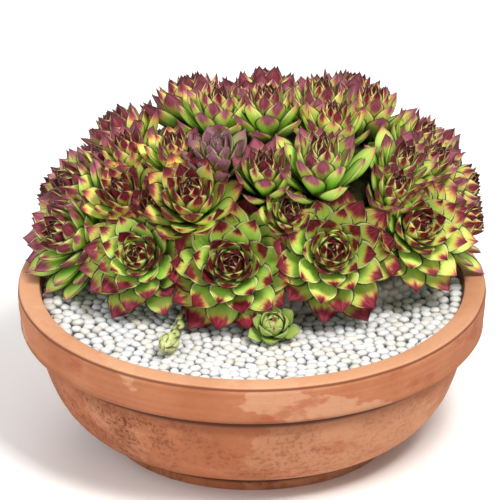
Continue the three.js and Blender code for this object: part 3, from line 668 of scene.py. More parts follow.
def cilia_of(leaf, count, draw):
    """Fine hairs along both edges of a leaf: three foot points and a tip for each."""
    spikes = []
    for edge in (1.0, -1.0):
        for i in range(count):
            along = mix(0.34, 0.97, (i + draw() * 0.7) / count)
            half = leaf["width"] / 2 * np.interp(along, OUTLINE_ALONG, OUTLINE_WIDTH)
            lift = leaf["cup"] * half
            side = edge * half + leaf["sway"] * leaf["length"] * along**2
            length = mix(0.7, 1.25, draw())
            foot = mix(0.10, 0.15, draw())
            at = np.array([along - foot / leaf["length"], along + foot / leaf["length"], along, along + 0.02])
            across = np.array([side, side, side, side + edge * length])
            up = np.array([lift, lift, lift + 1.6 * foot, lift + length * 0.35])
            spikes.append(leaf_points(leaf, at, across, up))
    return spikes


LEAF_FACES = tube_faces(len(OUTLINE_ALONG), len(TURN_ACROSS))
SPIKE_FACES = [(0, 1, 2), (0, 3, 1), (1, 3, 2), (2, 3, 0)]


def core_profile(radius):
    """The short core that the leaves grow from, with its stem below."""
    return [
        (0.02, -STEM_ABOVE - STEM_BELOW),
        (STEM_RADIUS * 0.8, -STEM_ABOVE - STEM_BELOW),
        (STEM_RADIUS, 1.4),
        (0.26 * radius, 0.10 * radius),
        (0.22 * radius, 0.30 * radius),
        (0.12 * radius, 0.50 * radius),
        (0.02, 0.58 * radius),
    ]


def grow_rosette(rosette, keep_out, material):
    """One rosette as one piece: core, leaves and hairs."""
    shell = Shell()
    turn = rosette["turn"].T
    draw = seeded_random(rosette["seed"] + SEEDS["hairs"])

    def add(points, faces, place, nature):
        turned = points @ turn + rosette["point"]
        shell.add(turned, faces, leaf_place=place, leaf_nature=nature, rosette_nature=rosette["nature"])

    core, core_faces = turned_shell(core_profile(rosette["radius"]), 14)
    add(core, core_faces, (0.02, 0.5, 1.0), (0.5, 0.5, 0.0))
    for leaf in leaves_of(rosette, keep_out):
        nature = (leaf["age"], leaf["tone"], draw())
        points, place = leaf_shell(leaf)
        add(points, LEAF_FACES, place, nature)
        for spike in cilia_of(leaf, rosette["habit"]["cilia"], draw):
            add(spike, SPIKE_FACES, (0.7, 1.0, 0.5), nature)
    return shell.to_piece(rosette["name"] + "_leaves", material, rosette["name"])


# ---- the bud on its runner ----


def scale_shell(frame_at, width, thickness, hug):
    """A pointed scale that lies along a surface: frame_at(along) gives its middle, across and outward."""
    points = []
    places = []
    for s, w in zip(SCALE_ALONG, SCALE_WIDTH):
        middle, across, outward = frame_at(s)
        for v, back in zip(TURN_ACROSS, TURN_IS_BACK):
            side = v * w * width / 2
            rise = -hug * side * side / (width / 2) + (0.0 if back > 0.75 else thickness * (1 - v * v) ** 0.5)
            points.append(middle + across * side + outward * rise)
            places.append((s, v * 0.5 + 0.5, 0.0))
    middle, across, outward = frame_at(1.0)
    points.append(middle + outward * thickness * 0.3)
    places.append((1.0, 0.5, 0.0))
    return np.array(points), tube_faces(len(SCALE_ALONG), len(TURN_ACROSS)), np.array(places)


def grow_bud(material):
    """The closed bud at the end of its scaly runner."""
    shell = Shell()
    draw = seeded_random(SEEDS["bud"])

    def add(points, faces, place, nature):
        shell.add(points, faces, leaf_place=place, leaf_nature=nature, rosette_nature=(0.2, 0.1, 0.15))

    steps = 60
    around = 12
    points, towards = runner_curve(steps)
    ring = []
    for point, along in zip(points, towards):
        for i in range(around):
            outward = outward_at(2 * math.pi * i / around, *across_and_above(along))
            ring.append(point + RUNNER_RADIUS * 0.82 * outward)
    ring.append(points[-1] + towards[-1] * 2)
    add(np.array(ring), tube_faces(steps + 1, around), (0.3, 0.5, 1.0), (0, 0.5, 0.5))

    def frame_on_runner(start, length, turn):
        def frame_at(share):
            place = min(start + share * length, steps - 0.001)
            low = int(place)
            middle = mix(points[low], points[low + 1], place - low)
            outward = outward_at(turn, *across_and_above(towards[low]))
            lift = RUNNER_RADIUS * (0.86 + 0.62 * math.sin(math.pi * min(share, 0.8)) ** 2)
            return middle + outward * lift, np.cross(towards[low], outward), outward

        return frame_at

    for i in range(RUNNER_SCALES):
        turn = math.radians(50 if i % 2 else 130) + (draw() - 0.5) * 0.4
        start = mix(0.20, 0.78, i / (RUNNER_SCALES - 1)) * steps
        frame_at = frame_on_runner(start, mix(14, 17, draw()), turn)
        scale, faces, place = scale_shell(frame_at, mix(7.0, 8.0, draw()), 0.8, 0.42)
        add(scale, faces, place, (0.4, draw(), draw()))

    end = towards[-1]
    side, above = across_and_above(end)
    centre = points[-1] + end * BUD_MIDDLE
    wide = 0.42 * BUD_RADIUS

    def frame_on_bud(turn, low, high, lift):
        def frame_at(share):
            down = math.radians(mix(low, high, share))
            outward = outward_at(turn, side, above)
            out = math.sin(down) * wide * (1 + lift * math.sin(math.pi * min(1.0, share * 0.9)))
            middle = centre - end * math.cos(down) * BUD_RADIUS * 1.02 + outward * out
            normal = unit(outward * math.sin(down) - end * math.cos(down) * (wide / BUD_RADIUS))
            return middle, np.cross(end, outward), normal

        return frame_at

    for i, (count, low, high, lift) in enumerate(BUD_RINGS):
        for j in range(count):
            turn = 2 * math.pi * (j + 0.5 * i) / count + (draw() - 0.5) * 0.2
            frame_at = frame_on_bud(turn, low, high, lift)
            scale, faces, place = scale_shell(frame_at, mix(6.4, 7.4, draw()), 0.75, 0.40)
            add(scale, faces, place, (0.5, draw(), draw()))
    ball, ball_faces = pebble_form(14, 10)
    core = ball * np.array([wide * 0.86, wide * 0.86, BUD_RADIUS * 0.9]) @ turn_to(end).T + centre
    add(core, ball_faces, (0.5, 0.5, 0.0), (0.6, 0.5, 0.5))
    return shell.to_piece("chick_bud_scales", material, "chick_bud_on_runner")


# ---- bowl, soil and gravel ----


def inside_radius(z):
    """How wide the bowl is inside at a height."""
    heights = [height for _, height in BOWL["inside"]]
    return float(np.interp(z, heights, [r for r, _ in BOWL["inside"]]))


def rounded(points, radius, steps=4):
    """A line of (radius, height) points with each of its corners rounded off."""
    points = [np.array(p, float) for p in points]
    line = [points[0]]
    for before, corner, after in zip(points, points[1:], points[2:]):
        to_before = before - corner
        to_after = after - corner
        reach_back = min(radius, np.linalg.norm(to_before) / 2.2)
        reach_on = min(radius, np.linalg.norm(to_after) / 2.2)
        start = corner + unit(to_before) * reach_back
        stop = corner + unit(to_after) * reach_on
        for t in np.linspace(0, 1, steps + 1):
            line.append((1 - t) ** 2 * start + 2 * t * (1 - t) * corner + t * t * stop)
    line.append(points[-1])
    return line


def bowl_profile():
    """The bowl's outline as (radius, height) pairs: foot, belly, band, rim, inside and drain hole."""
    b = BOWL
    top = b["height"]
    band_foot = top - b["band_height"]
    belly = []
    for t in np.linspace(0, 1, 30) ** b["belly_spacing"]:
        bulge = (1 - (1 - t) ** b["belly_roundness"]) ** b["belly_fullness"]
        out = mix(b["belly_foot_radius"], b["neck_radius"], bulge)
        belly.append((out, mix(b["foot_height"] + 1, band_foot - 0.6, t)))
    band = [(b["band_foot_radius"] - 0.6, band_foot), (b["band_foot_radius"] + 0.2, band_foot + 2)]
    for t in np.linspace(0.1, 0.9, 9):
        bow = 0.5 * math.sin(math.pi * t)
        band.append((mix(band[0][0], b["rim_radius"], t) + bow, mix(band_foot + 2, top - 3.4, t)))
    foot = [(b["drain_radius"], b["floor_height"]), (b["drain_radius"], 0), (b["foot_radius"], 0)]
    foot.append((b["foot_radius"] - 0.5, b["foot_height"]))
    rim = [
        (b["rim_radius"] - 0.1, top - 3.0),
        (b["rim_radius"] - 0.8, top),
        (b["mouth_radius"] + 0.8, top - 0.3),
    ]
    inside = list(reversed(b["inside"]))
    line = rounded(foot + belly[:2], 1.2)[:-1]
    line += belly[1:-1] + rounded([belly[-2], belly[-1], *band[:3]], 1.2)[1:-1]
    line += band[2:-1] + rounded([band[-2], band[-1]] + rim + inside[:2], 1.2)[1:-1]
    return [tuple(p) for p in line] + inside[1:] + [foot[0]]


def throw_bowl(material):
    """The bowl, turned on a wheel: faint rings, a slightly uneven rim, and small dents."""
    around = 300
    points, faces = turned_shell(bowl_profile()[:-1], around)
    radius = np.hypot(points[:, 0], points[:, 1])
    z = points[:, 2]
    outside = (radius > 60) & (z > 1.0)
    angle = np.arctan2(points[:, 1], points[:, 0])
    rings = 0.10 * np.sin(z * 1.9 + 0.6 * np.sin(angle * 2)) + 0.07 * np.sin(z * 4.3 + angle)
    dents = np.array([noise.noise(Vector(p) * 0.035) for p in points]) * 0.35
    points[:, :2] *= (1 + np.where(outside, (rings + dents - 0.35) / np.maximum(radius, 1), 0))[:, None]
    shell = Shell()
    shell.add(points, faces)
    return shell.to_piece("terracotta_bowl", material, "bowl")


def heap_soil(material):
    """Crumbly soil that fills the bowl and rises in the mound that carries the rosettes."""
    around = 150
    mound_rings = 30
    flat_rings = 16
    rows = []
    for i in range(around):
        bearing = 360 * i / around
        direction = np.array([math.sin(math.radians(bearing)), -math.cos(math.radians(bearing))])
        row = [on_mound(bearing, 90 * (j + 0.35) / mound_rings)[0] for j in range(mound_rings)]
        foot = row[-1].copy()
        foot[2] = SOIL_LEVEL
        # from the mound's foot out to the bowl's wall
        wall = inside_radius(SOIL_LEVEL) - SOIL_GAP
        along = foot[:2] @ direction
        far = -along + math.sqrt(max(0.0, along**2 - foot[:2] @ foot[:2] + wall**2))
        row += [mix(row[-1], foot, (j + 1) / 4.5) for j in range(4)]
        for j in range(flat_rings):
            out = foot[:2] + direction * far * (j / (flat_rings - 1))
            row.append(np.array([out[0], out[1], SOIL_LEVEL + 1.5]))
        rows.append(row)
    top = np.array(rows)
    flat = top.reshape(-1, 3)
    crumbs = np.array([noise.noise(Vector(p) * 0.22) + 0.6 * noise.noise(Vector(p) * 0.55) for p in flat])
    away = unit_rows(flat - (MOUND_CENTRE - np.array([0, 0, 30])))
    lift = np.where(flat[:, 2] > SOIL_LEVEL + 2, 1.0, 0.35)
    flat = flat + away * (crumbs * lift)[:, None]
    top = flat.reshape(around, -1, 3)
    rings = [top[:, j] for j in range(top.shape[1])]
    rim = rings[-1]
    for height in (70.0, 45.0, SOIL_FLOOR):
        out = rim.copy()
        out[:, :2] *= ((inside_radius(height) - SOIL_GAP) / np.hypot(rim[:, 0], rim[:, 1]))[:, None]
        out[:, 2] = height
        rings.append(out)
    apex = on_mound(0, 0)[0]
    points = np.concatenate(rings + [[apex], [[0.0, 0.0, SOIL_FLOOR]]])
    last = len(rings) * around
    faces = [(a, d, c, b) for a, b, c, d in ring_faces(len(rings), around)]
    faces += fan_faces(0, around, last)
    faces += fan_faces(last - around, around, last + 1, outward=False)
    shell = Shell()
    shell.add(points, faces)
    return shell.to_piece("potting_soil", material, "soil")


def pebble_form(around, rings):
    """A round form of radius 1 as points and faces."""
    points = [(0.0, 0.0, 1.0)]
    for j in range(1, rings):
        a = math.pi * j / rings
        for i in range(around):
            b = 2 * math.pi * (i + 0.5 * (j % 2)) / around
            points.append((math.sin(a) * math.cos(b), math.sin(a) * math.sin(b), math.cos(a)))
    points.append((0.0, 0.0, -1.0))
    faces = fan_faces(1, around, 0)
    for j in range(rings - 2):
        for i in range(around):
            a = 1 + j * around + i
            b = 1 + j * around + (i + 1) % around
            if j % 2:
                faces.extend([(a, a + around, b), (b, a + around, b + around)])
            else:
                faces.extend([(a, a + around, b + around), (a, b + around, b)])
    faces += fan_faces(1 + (rings - 2) * around, around, len(points) - 1, outward=False)
    return np.array(points), faces


def scatter(count, spacing, inside, outside, seed):
    """Evenly shaken places between the mound, grown by outside, and a circle of radius inside."""
    random = np.random.default_rng(seed)
    places = []
    while len(places) < count:
        x, y = random.uniform(-inside, inside, 2)
        if math.hypot(x, y) < inside and off_mound(x, y, outside):
            places.append((x, y))
    places = np.array(places)
    for _ in range(SCATTER_ROUNDS):
        gap = places[:, None] - places[None]
        distance = np.linalg.norm(gap, axis=2)
        np.fill_diagonal(distance, spacing)
        push = np.maximum(0, spacing - distance) * 0.25
        places = places + (gap / np.maximum(distance, 0.01)[:, :, None] * push[:, :, None]).sum(axis=1)
        out = np.hypot(places[:, 0], places[:, 1])
        places *= np.minimum(1, inside / out)[:, None]
        near = np.array([not off_mound(x, y, outside) for x, y in places])
        places[near] += unit_rows(places - MOUND_CENTRE[:2])[near]
    return places


def off_mound(x, y, grown):
    """Whether a place is outside the mound's foot when the mound is grown."""
    half = MOUND_HALF + grown
    return reach((x - MOUND_CENTRE[0]) / half[0], (y - MOUND_CENTRE[1]) / half[1], 0) > 1


def along_foot(spacing, outside):
    """Places at even steps round the mound's foot."""
    half = MOUND_HALF[:2] + outside
    steps = 1440
    places = []
    for i in range(steps):
        turn = 2 * math.pi * i / steps
        way = np.array([math.sin(turn), -math.cos(turn)])
        place = MOUND_CENTRE[:2] + way / reach(*(way / half), 0)
        if not places or np.linalg.norm(place - places[-1]) > spacing:
            places.append(place)
    return places


def rotation(angle, first, second):
    """The matrix of a turn from one axis towards another."""
    matrix = np.eye(3)
    matrix[first, first] = math.cos(angle)
    matrix[second, second] = math.cos(angle)
    matrix[first, second] = -math.sin(angle)
    matrix[second, first] = math.sin(angle)
    return matrix


def shape_pebble(random, ball, size, x, y, level):
    """A lumpy rounded stone, lying a little askew, about its own middle."""
    stretch = random.uniform(0.82, 1.2, 3) * size
    stretch[2] *= 0.84
    full = np.sign(ball) * np.abs(ball) ** random.uniform(0.72, 0.95)
    full /= np.linalg.norm(full, axis=1)[:, None] ** 0.5
    lump = np.array([noise.noise(Vector(p) * 1.1 + Vector((x, y, level))) for p in full])
    pebble = full * stretch * (1 + 0.16 * lump)[:, None]
    spin = rotation(random.uniform(0, 2 * math.pi), 0, 1)
    tip = rotation(random.uniform(-0.35, 0.35), 1, 2)
    return pebble @ tip.T @ spin.T


def spread_gravel(material):
    """Rounded white pebbles: a bed, the layer on it that shows, and three rings on the mound's foot."""
    shell = Shell()
    random = np.random.default_rng(SEEDS["pebbles"])
    bed = pebble_form(9, 5)
    round_pebble = pebble_form(13, 8)
    small_pebble = pebble_form(11, 7)
    ceiling = GRAVEL_TOP - 0.2
    bed_places = scatter(520, 9.6, inside_radius(BED_LEVEL) - PEBBLE_REACH, MOUND_OFF, seed=5)
    top_places = scatter(660, 8.5, inside_radius(PEBBLE_LEVEL) - PEBBLE_REACH, MOUND_OFF, seed=6)
    # places, size, level of their middles, highest that they may reach, form, and how strongly their sides
    # are painted in shade
    for places, size, level, highest, (ball, faces), side_shade in [
        (bed_places, 4.4, BED_LEVEL, ceiling, bed, 1.0),
        (top_places, 4.05, PEBBLE_LEVEL, ceiling, round_pebble, 1.0),
        (along_foot(7.4, 2.0), 4.2, 95.5, 101.0, small_pebble, 0.5),
        (along_foot(7.8, 0.8), 4.1, 100.0, 106.0, small_pebble, 0.4),
        (along_foot(8.2, -0.6), 3.9, 104.2, 110.0, small_pebble, 0.4),
    ]:
        for x, y in places:
            tone = random.uniform()
            pebble = shape_pebble(random, ball, size, x, y, level)
            top = min(highest, level + pebble[:, 2].max() + random.uniform(-0.4, 0.4))
            pebble += np.array([x, y, top - pebble[:, 2].max()])
            depth = np.clip((top - pebble[:, 2]) / size, 0, 1) * side_shade
            nature = np.stack(np.broadcast_arrays(tone, random.uniform(), depth), axis=1)
            shell.add(pebble, faces, pebble_nature=nature)
    return shell.to_piece("white_gravel", material, "gravel")


# ---- shared effects ----


def make_mottle():
    """Soft blotches of a given size: a mask that is 0 below Low and 1 above High."""
    inputs = {"Place": None, "Scale": 20.0, "Low": 0.4, "High": 0.6}
    tree, paint, inside, outside = new_group("mottle", inputs, "Mask")
    cloud = paint.noise(inside["Place"], inside["Scale"], 5.0, 0.6)
    paint.feed(paint.step(cloud, inside["Low"], inside["High"]), outside["Mask"])
    return tree


def make_grain():
    """The fine tooth of clay, stone or soil, as a height from 0 to 1."""
    tree, paint, inside, outside = new_group("grain", {"Place": None, "Scale": 900.0}, "Height")
    fine = paint.noise(inside["Place"], inside["Scale"], 4.0, 0.7)
    coarse = paint.noise(inside["Place"], paint.times(inside["Scale"], 0.23), 3.0, 0.5)
    paint.feed(paint.scaled(coarse, 0.5, paint.times(fine, 0.5)), outside["Height"])
    return tree


def make_leaf_streaks():
    """Streaks that run along a leaf: fine ones like veins and broad ones like brushed colour."""
    inputs = {"Along": 0.5, "Across": 0.5, "Seed": 0.5}
    tree, paint, inside, outside = new_group("leaf_streaks", inputs, "Fine", "Broad")
    along, across, seed = inside[:3]
    shift = paint.times(seed, 41.0)
    fine = paint.vector(paint.times(across, 17.0), along, shift)
    broad = paint.vector(paint.times(across, 4.2), paint.times(along, 1.4), shift)
    paint.feed(paint.noise(fine, 1.6, 3.0, 0.6), outside["Fine"])
    paint.feed(paint.noise(broad, 1.5, 2.0, 0.5), outside["Broad"])
    return tree


def make_tone_shift():
    """Makes a colour a little darker or lighter from one piece to the next."""
    inputs = {"Color": None, "Tone": 0.5, "Amount": 0.2}
    tree, paint, inside, outside = new_group("tone_shift", inputs, "Color")
    value = paint.scaled(paint.minus(inside["Tone"], 0.5), inside["Amount"], 1.0)
    paint.feed(paint.shade(inside["Color"], value), outside["Color"])
    return tree


def make_level_line():
    """A soft level line, used for painted shade and a dark rim edge: a mask that is 1 at a height and 0
    further from it than a reach.
    """
    inputs = {"Height": 0.0, "At": 0.0, "Reach": 0.002}
    tree, paint, inside, outside = new_group("level_line", inputs, "Mask")
    away = paint.maths("ABSOLUTE", paint.minus(inside["Height"], inside["At"]))
    nearness = paint.minus(1.0, paint.maths("DIVIDE", away, inside["Reach"]), clamp=True)
    paint.feed(paint.step(nearness, 0.0, 0.7), outside["Mask"])
    return tree


EFFECTS = {
    "level_line": make_level_line(),
    "mottle": make_mottle(),
    "grain": make_grain(),
    "leaf_streaks": make_leaf_streaks(),
    "tone_shift": make_tone_shift(),
}

# ---- materials ----


def new_material(name):
    material = bpy.data.materials.new(name)
    material.use_nodes = True
    return material, Paint(material.node_tree)


def join_shader(material, paint, skin, normal, roughness, specular=None):
    """Joins what has been painted to the material's shader."""
    shader = material.node_tree.nodes["Principled BSDF"].inputs
    paint.feed(skin, shader["Base Color"])
    paint.feed(normal, shader["Normal"])
    paint.feed(roughness, shader["Roughness"])
    paint.feed(specular, shader["Specular IOR Level"])
    return material


# In each look the ramps' first and darkest stop is painted shade at the leaf's root.
HEN_LOOK = {
    "cool": [(0.0, "2c4a16"), (0.3, "699e36"), (0.55, "a4d856"), (0.8, "c8ea78"), (1.0, "c4d272")],
    "warm": [(0.0, "567420"), (0.3, "bcd850"), (0.55, "eaf27a"), (0.8, "f4e886"), (1.0, "f0b858")],
    "turn": "de4a24",
    "red": "840a1c",
    "deep": "2c0408",
    "mauve": "c87e98",
    "bloom": "8d6474",
    "pink_highlight_and_rim_tint": "e08a9a",
    "edge": "e9e3b4",
    "outline": "3a1412",
    "outline_start": 0.88,
    "red_start": 0.97,
}
CHICK_LOOK = {
    "cool": [(0.0, "31491a"), (0.3, "64883a"), (0.6, "96b456"), (1.0, "a9bd66")],
    "warm": [(0.0, "5c6a2c"), (0.35, "a2b054"), (0.62, "bcc468"), (1.0, "b8a066")],
    "turn": "b0885a",
    "red": "8a5242",
    "deep": "5c2e28",
    "mauve": "8a5242",
    "bloom": "8fa070",
    "pink_highlight_and_rim_tint": "dfe3b4",
    "edge": "edebc6",
    "outline": "39401a",
    "outline_start": 0.93,
    "red_start": 1.09,
}
# The bud's broad dark outline is painted shade between its scales.
BUD_LOOK = {
    "cool": [(0.0, "56612e"), (0.3, "929f5c"), (0.6, "b6c27c"), (1.0, "bcc48a")],
    "warm": [(0.0, "6c7438"), (0.35, "a8b066"), (0.62, "c4c884"), (1.0, "c2bc84")],
    "turn": "b9b07a",
    "red": "a08a62",
    "deep": "7c5440",
    "mauve": "a08a62",
    "bloom": "b4b57c",
    "pink_highlight_and_rim_tint": "ece7bd",
    "edge": "f3efcf",
    "outline": "595428",
    "outline_start": 0.70,
    "red_start": 1.12,
}


def paint_leaf(name, look):
    """Green from the root, turning through orange to red at the tip, with a pale edge, a mauve bloom, painted
    shade at the root and beside the edges, and painted pink highlights in the red.
    """
    material, paint = new_material(name)
    times = paint.times
    minus = paint.minus
    scaled = paint.scaled
    step = paint.step
    along, across, back = paint.parts("leaf_place")
    age, tone, seed = paint.parts("leaf_nature")
    warmth, mauve, blush = paint.parts("rosette_nature")
    fine, broad = paint.effect("leaf_streaks", along, across, seed)
    edge = paint.maths("ABSOLUTE", scaled(across, 2.0, -1.0))
    # How far past the start of the red: it starts nearer the root on blushed leaves and on the inner ones,
    # where it stands back from the edges and leaves a wedge.
    start = scaled(blush, -0.30, look["red_start"])
    start = scaled(minus(tone, 0.5), 0.20, start)
    start = scaled(age, -0.26, start)
    wedge = times(times(edge, edge), times(age, 0.50))
    ragged = times(minus(broad, 0.5), 0.20)
    ragged = scaled(minus(fine, 0.5), 0.13, ragged)
    past = minus(minus(paint.maths("ADD", along, ragged), start), wedge)
    outer = minus(1.15, age, clamp=True)

    # the ramps are darkest at the root, which is painted shade
    warm_share = times(warmth, scaled(tone, 0.7, 0.55), clamp=True)
    skin = paint.blend(warm_share, paint.ramp(along, *look["cool"]), paint.ramp(along, *look["warm"]))
    skin = paint.effect("tone_shift", skin, fine, 0.7)
    turning = times(step(past, -0.18, 0.02), scaled(warmth, 0.80, 0.25))
    skin = paint.coat(skin, look["turn"], turning)
    # outer leaves turn mauve at the tip where inner ones turn crimson
    mauve_share = times(mauve, step(outer, 0.30, 0.95), clamp=True)
    tip = paint.blend(mauve_share, colour(look["red"]), colour(look["mauve"]))
    skin = paint.blend(step(past, -0.06, 0.05), skin, tip)
    # the red is deepest at the tip and all over the innermost leaves, and it is darker beside the edges,
    # which is painted shade
    tip_and_shaded_edge = paint.maths("MAXIMUM", step(along, 0.84, 1.0), step(edge, 0.35, 0.90))
    darkest = scaled(age, 0.45, scaled(tip_and_shaded_edge, 0.60, 0.16))
    darkest = scaled(tone, 0.30, darkest)
    darkest = times(darkest, scaled(mauve_share, -0.4, 1.0), clamp=True)
    skin = paint.coat(skin, look["deep"], step(past, 0.0, 0.12), darkest)
    # pink streaks as painted highlights in the middle of the outer leaves' red, and a dusty bloom on the most
    # mauve rosettes
    highlight_streaks = times(step(fine, 0.44, 0.66), step(past, -0.06, 0.04))
    highlight_streaks = times(highlight_streaks, minus(1.0, step(edge, 0.30, 0.85)))
    highlight_streaks = times(highlight_streaks, scaled(mauve, 0.60, 0.14))
    skin = paint.coat(skin, look["pink_highlight_and_rim_tint"], highlight_streaks, outer)
    dusty = times(step(mauve, 0.75, 1.0), 0.8)
    bloomed = step(paint.maths("ADD", along, times(ragged, 0.7)), 0.35, 0.85)
    skin = paint.coat(skin, look["bloom"], bloomed, dusty)
    # painted shade: darker beside the pale rim and towards the root
    beside = times(step(edge, 0.45, 0.92), -0.30)
    skin = paint.shade(skin, paint.maths("ADD", scaled(step(along, -0.05, 0.50), 0.72, 0.30), beside))
    # the pale rim is broad on the inner leaves and thin on the outer ones, and the very edge is dark
    inner = step(age, 0.15, 0.50)
    rim_start = scaled(inner, -0.11, 0.84)
    rim = step(edge, rim_start, paint.maths("ADD", rim_start, 0.06))
    rim = times(rim, step(along, 0.22, 0.46))
    rim = times(rim, scaled(inner, 0.50, 0.16))
    rim = times(rim, scaled(back, -0.9, 1.0), clamp=True)
    rim_tint = paint.coat(colour(look["edge"]), look["pink_highlight_and_rim_tint"], step(past, -0.05, 0.10), 0.6)
    skin = paint.blend(rim, skin, rim_tint)
    # the dark edge is a thin margin on the hens and the chick, and broad painted shade on the bud's scales
    outlined = step(edge, look["outline_start"], look["outline_start"] + 0.03)
    skin = paint.coat(skin, look["outline"], outlined, 0.85)
    skin = paint.effect("tone_shift", skin, tone, 0.24)

    relief = scaled(fine, 0.8, times(paint.effect("grain", paint.place(), 1400.0), 0.25))
    normal = paint.bump(relief, 0.35, 0.0006)
    return join_shader(material, paint, skin, normal, scaled(broad, 0.28, 0.30), 0.15)


def paint_terracotta():
    """Weathered clay: washes of pale salts, brush strokes round the band, dark blotches low on the left, and
    painted shade on the band, under it and in the grooves.
    """
    material, paint = new_material("fired_terracotta")
    place = paint.place()
    x, _, z = paint.node("SeparateXYZ", place).outputs
    cloud = paint.effect("mottle", place, 11.0, 0.34, 0.66)
    skin = paint.coat(colour("a4623f"), "bb7c57", cloud)
    strokes = paint.effect("mottle", paint.stretched(place, 5.0, 5.0, 130.0), 2.2, 0.42, 0.60)
    on_band = paint.step(z, 0.0730, 0.0750)
    skin = paint.coat(skin, "8c4a2b", strokes, paint.scaled(on_band, 0.06, 0.16))
    # pale salts lie in washes with a clear edge, most of all on the band
    wash_place = paint.stretched(place, 1.0, 1.0, 1.7)
    wash = paint.effect("mottle", wash_place, 9.0, 0.535, 0.555)
    skin = paint.coat(skin, "e0b592", wash, paint.scaled(on_band, 0.26, 0.18))
    # the band is painted darker as shade, to even out the light it catches facing up
    skin = paint.coat(skin, "94583a", on_band, 0.30)
    rusty = paint.effect("mottle", wash_place, 22.0, 0.56, 0.66)
    skin = paint.coat(skin, "96432a", rusty, 0.55)
    # the rim is worn lighter than the wall
    worn = paint.step(paint.scaled(cloud, 0.003, z), 0.099, 0.1035)
    skin = paint.coat(skin, "d3a07b", worn, 0.65)
    # dark blotches, heavier low down and on the left
    leftwards = paint.fall(x, -0.10, 0.05)
    low_down = paint.fall(z, 0.060, 0.073)
    dark_blotch = paint.effect("mottle", place, 20.0, 0.36, 0.66)
    left_share = paint.scaled(leftwards, 0.55, 0.24)
    dark_blotches_low_left = paint.times(paint.times(dark_blotch, low_down), left_share)
    skin = paint.coat(skin, "7a4026", dark_blotches_low_left)
    specks = paint.effect("mottle", place, 330.0, 0.50, 0.60)
    speck_share = paint.times(specks, paint.scaled(dark_blotches_low_left, 1.3, 0.05), clamp=True)
    skin = paint.coat(skin, "683219", speck_share)
    # painted shadow below the band, painted shade in the groove under it and in the crease above the foot,
    # and a dark rim edge
    for height, reach_out, code, share in [
        (0.0700, 0.0120, "6a3620", 0.45),
        (0.0700, 0.0040, "3f1f13", 0.90),
        (0.0082, 0.0040, "3f1f13", 0.95),
        (0.1000, 0.0014, "6e3b24", 0.90),
    ]:
        skin = paint.coat(skin, code, paint.effect("level_line", z, height, reach_out), share)
    tooth = paint.effect("grain", place, 1500.0)
    brushed = paint.noise(paint.stretched(place, 8.0, 8.0, 420.0), 3.0, 3.0)
    normal = paint.bump(tooth, 0.35, 0.0004, paint.bump(brushed, 0.22, 0.0006))
    return join_shader(material, paint, skin, normal, paint.scaled(tooth, 0.2, 0.68), 0.25)


def paint_gravel():
    """White pebbles, a few of them warm or grey, with painted shade on their sides and lower down between
    them.
    """
    material, paint = new_material("white_pebble")
    tone, warm, depth = paint.parts("pebble_nature")
    place = paint.place()
    height = paint.node("SeparateXYZ", place).outputs[2]
    skin = paint.coat(colour("dadad9"), "d4cfc4", paint.step(warm, 0.45, 0.95))
    skin = paint.coat(skin, "bfc4ca", paint.step(tone, 0.75, 0.98), 0.7)
    cloud = paint.effect("mottle", place, 240.0, 0.35, 0.75)
    skin = paint.coat(skin, "c3beb5", cloud, 0.25)
    vein = paint.effect("mottle", paint.stretched(place, 1.0, 1.0, 3.0), 520.0, 0.60, 0.70)
    skin = paint.coat(skin, "9d978e", vein, 0.22)
    # painted shade darkens the pebbles' sides, and the bed under them is painted grey as shade between them
    skin = paint.coat(skin, "66686c", paint.step(depth, 0.18, 0.70), 0.88)
    skin = paint.coat(skin, "6c6d72", paint.fall(height, 0.0920, 0.0945), 0.55)
    skin = paint.effect("tone_shift", skin, tone, 0.18)
    tooth = paint.effect("grain", place, 1700.0)
    return join_shader(material, paint, skin, paint.bump(tooth, 0.30, 0.0004), paint.scaled(tooth, 0.3, 0.42))


def paint_soil():
    material, paint = new_material("mossy_soil")
    place = paint.place()
    tooth = paint.effect("grain", place, 800.0)
    skin = paint.ramp(tooth, (0.30, "15100c"), (0.50, "2c2219"), (0.68, "4a3b2b"))
    moss = paint.effect("mottle", place, 60.0, 0.44, 0.56)
    green = paint.ramp(tooth, (0.30, "1b220e"), (0.55, "3c4a1c"), (0.75, "66752f"))
    skin = paint.blend(paint.times(moss, 0.75), skin, green)
    # grit from the gravel lies round the mound's foot, painted in greys as gravel in shade
    height = paint.node("SeparateXYZ", place).outputs[2]
    ragged = paint.scaled(tooth, 0.012, paint.times(height, -1.0))
    shaded_grit_mask = paint.step(ragged, -0.106, -0.098)
    shaded_grit = paint.ramp(tooth, (0.35, "4c4d52"), (0.50, "85868b"), (0.65, "b9bac0"))
    skin = paint.blend(shaded_grit_mask, skin, shaded_grit)
    return join_shader(material, paint, skin, paint.bump(tooth, 0.9, 0.002), 0.95, 0.15)


# ---- floor, light and camera ----


def lay_floor():
    mesh = bpy.data.meshes.new("studio_floor")
    wide = 6.0
    corners = [(-wide, -wide, 0), (wide, -wide, 0), (wide, wide, 0), (-wide, wide, 0)]
    mesh.from_pydata(corners, [], [(0, 1, 2, 3)])
    material, paint = new_material("pale_floor")
    cloud = paint.effect("mottle", paint.place(), 3.0, 0.3, 0.7)
    skin = paint.coat(colour("f6f5f3"), "fbfaf8", cloud)
    mesh.materials.append(join_shader(material, paint, skin, None, 0.9, 0.1))
    floor = add_object("studio_floor", mesh)


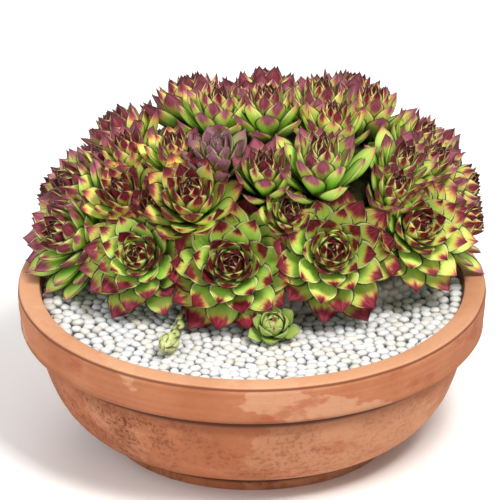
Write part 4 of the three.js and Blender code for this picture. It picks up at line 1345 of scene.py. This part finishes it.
def hang_lights():
    world = bpy.data.worlds.new("studio")
    world.use_nodes = True
    sky = world.node_tree.nodes["Background"].inputs
    sky["Color"].default_value = (1.0, 1.0, 1.0, 1.0)
    sky["Strength"].default_value = 0.52
    bpy.context.scene.world = world
    for name, place, size, power, tint in [
        ("key", (0.7, -1.0, 2.0), 0.7, 54.0, (1.0, 0.98, 0.95)),
        ("fill", (-1.5, -1.0, 1.0), 1.6, 19.0, (0.95, 0.97, 1.0)),
        ("rim", (-0.3, 1.6, 1.5), 1.2, 12.0, (1.0, 1.0, 1.0)),
    ]:
        lamp = bpy.data.lights.new(name, "AREA")
        lamp.size = size
        lamp.energy = power
        lamp.color = tint
        light = add_object(name, lamp)
        light.location = place
        light.rotation_euler = (Vector((0, 0, 0.1)) - Vector(place)).to_track_quat("-Z", "Y").to_euler()


def set_camera():
    elevation = math.radians(26)
    distance = 12.0
    half_width = 0.1596  # what the camera sees each side of its middle, at the target
    target = Vector((-0.00128, 0.0, 0.12615))
    lens = bpy.data.cameras.new("camera")
    lens.sensor_fit = "HORIZONTAL"
    lens.lens = lens.sensor_width / 2 / (half_width / distance)
    lens.clip_start = 0.1
    lens.clip_end = 30.0
    camera = add_object("camera", lens)
    camera.location = target + distance * Vector((0, -math.cos(elevation), math.sin(elevation)))
    camera.rotation_euler = (target - camera.location).to_track_quat("-Z", "Y").to_euler()
    bpy.context.scene.camera = camera
    bpy.context.scene.view_settings.view_transform = "Standard"


# ---- assembly ----


def plant_bowl():
    hen_leaf = paint_leaf("hen_leaf", HEN_LOOK)
    chick_leaf = paint_leaf("chick_leaf", CHICK_LOOK)
    bud_scale = paint_leaf("bud_scale", BUD_LOOK)
    throw_bowl(paint_terracotta())
    heap_soil(paint_soil())
    spread_gravel(paint_gravel())
    runner_points, runner_towards = runner_curve(24)
    bud_centre = runner_points[-1] + runner_towards[-1] * BUD_MIDDLE
    keep_out = [(runner_points, RUNNER_RADIUS + OFF_RUNNER), (bud_centre[None], BUD_RADIUS + OFF_BUD)]
    for rosette in place_rosettes():
        if rosette["name"] == CHICK["name"]:
            grow_rosette(rosette, keep_out, chick_leaf)
        else:
            grow_rosette(rosette, keep_out, hen_leaf)
    grow_bud(bud_scale)


set_camera()
lay_floor()
hang_lights()
plant_bowl()
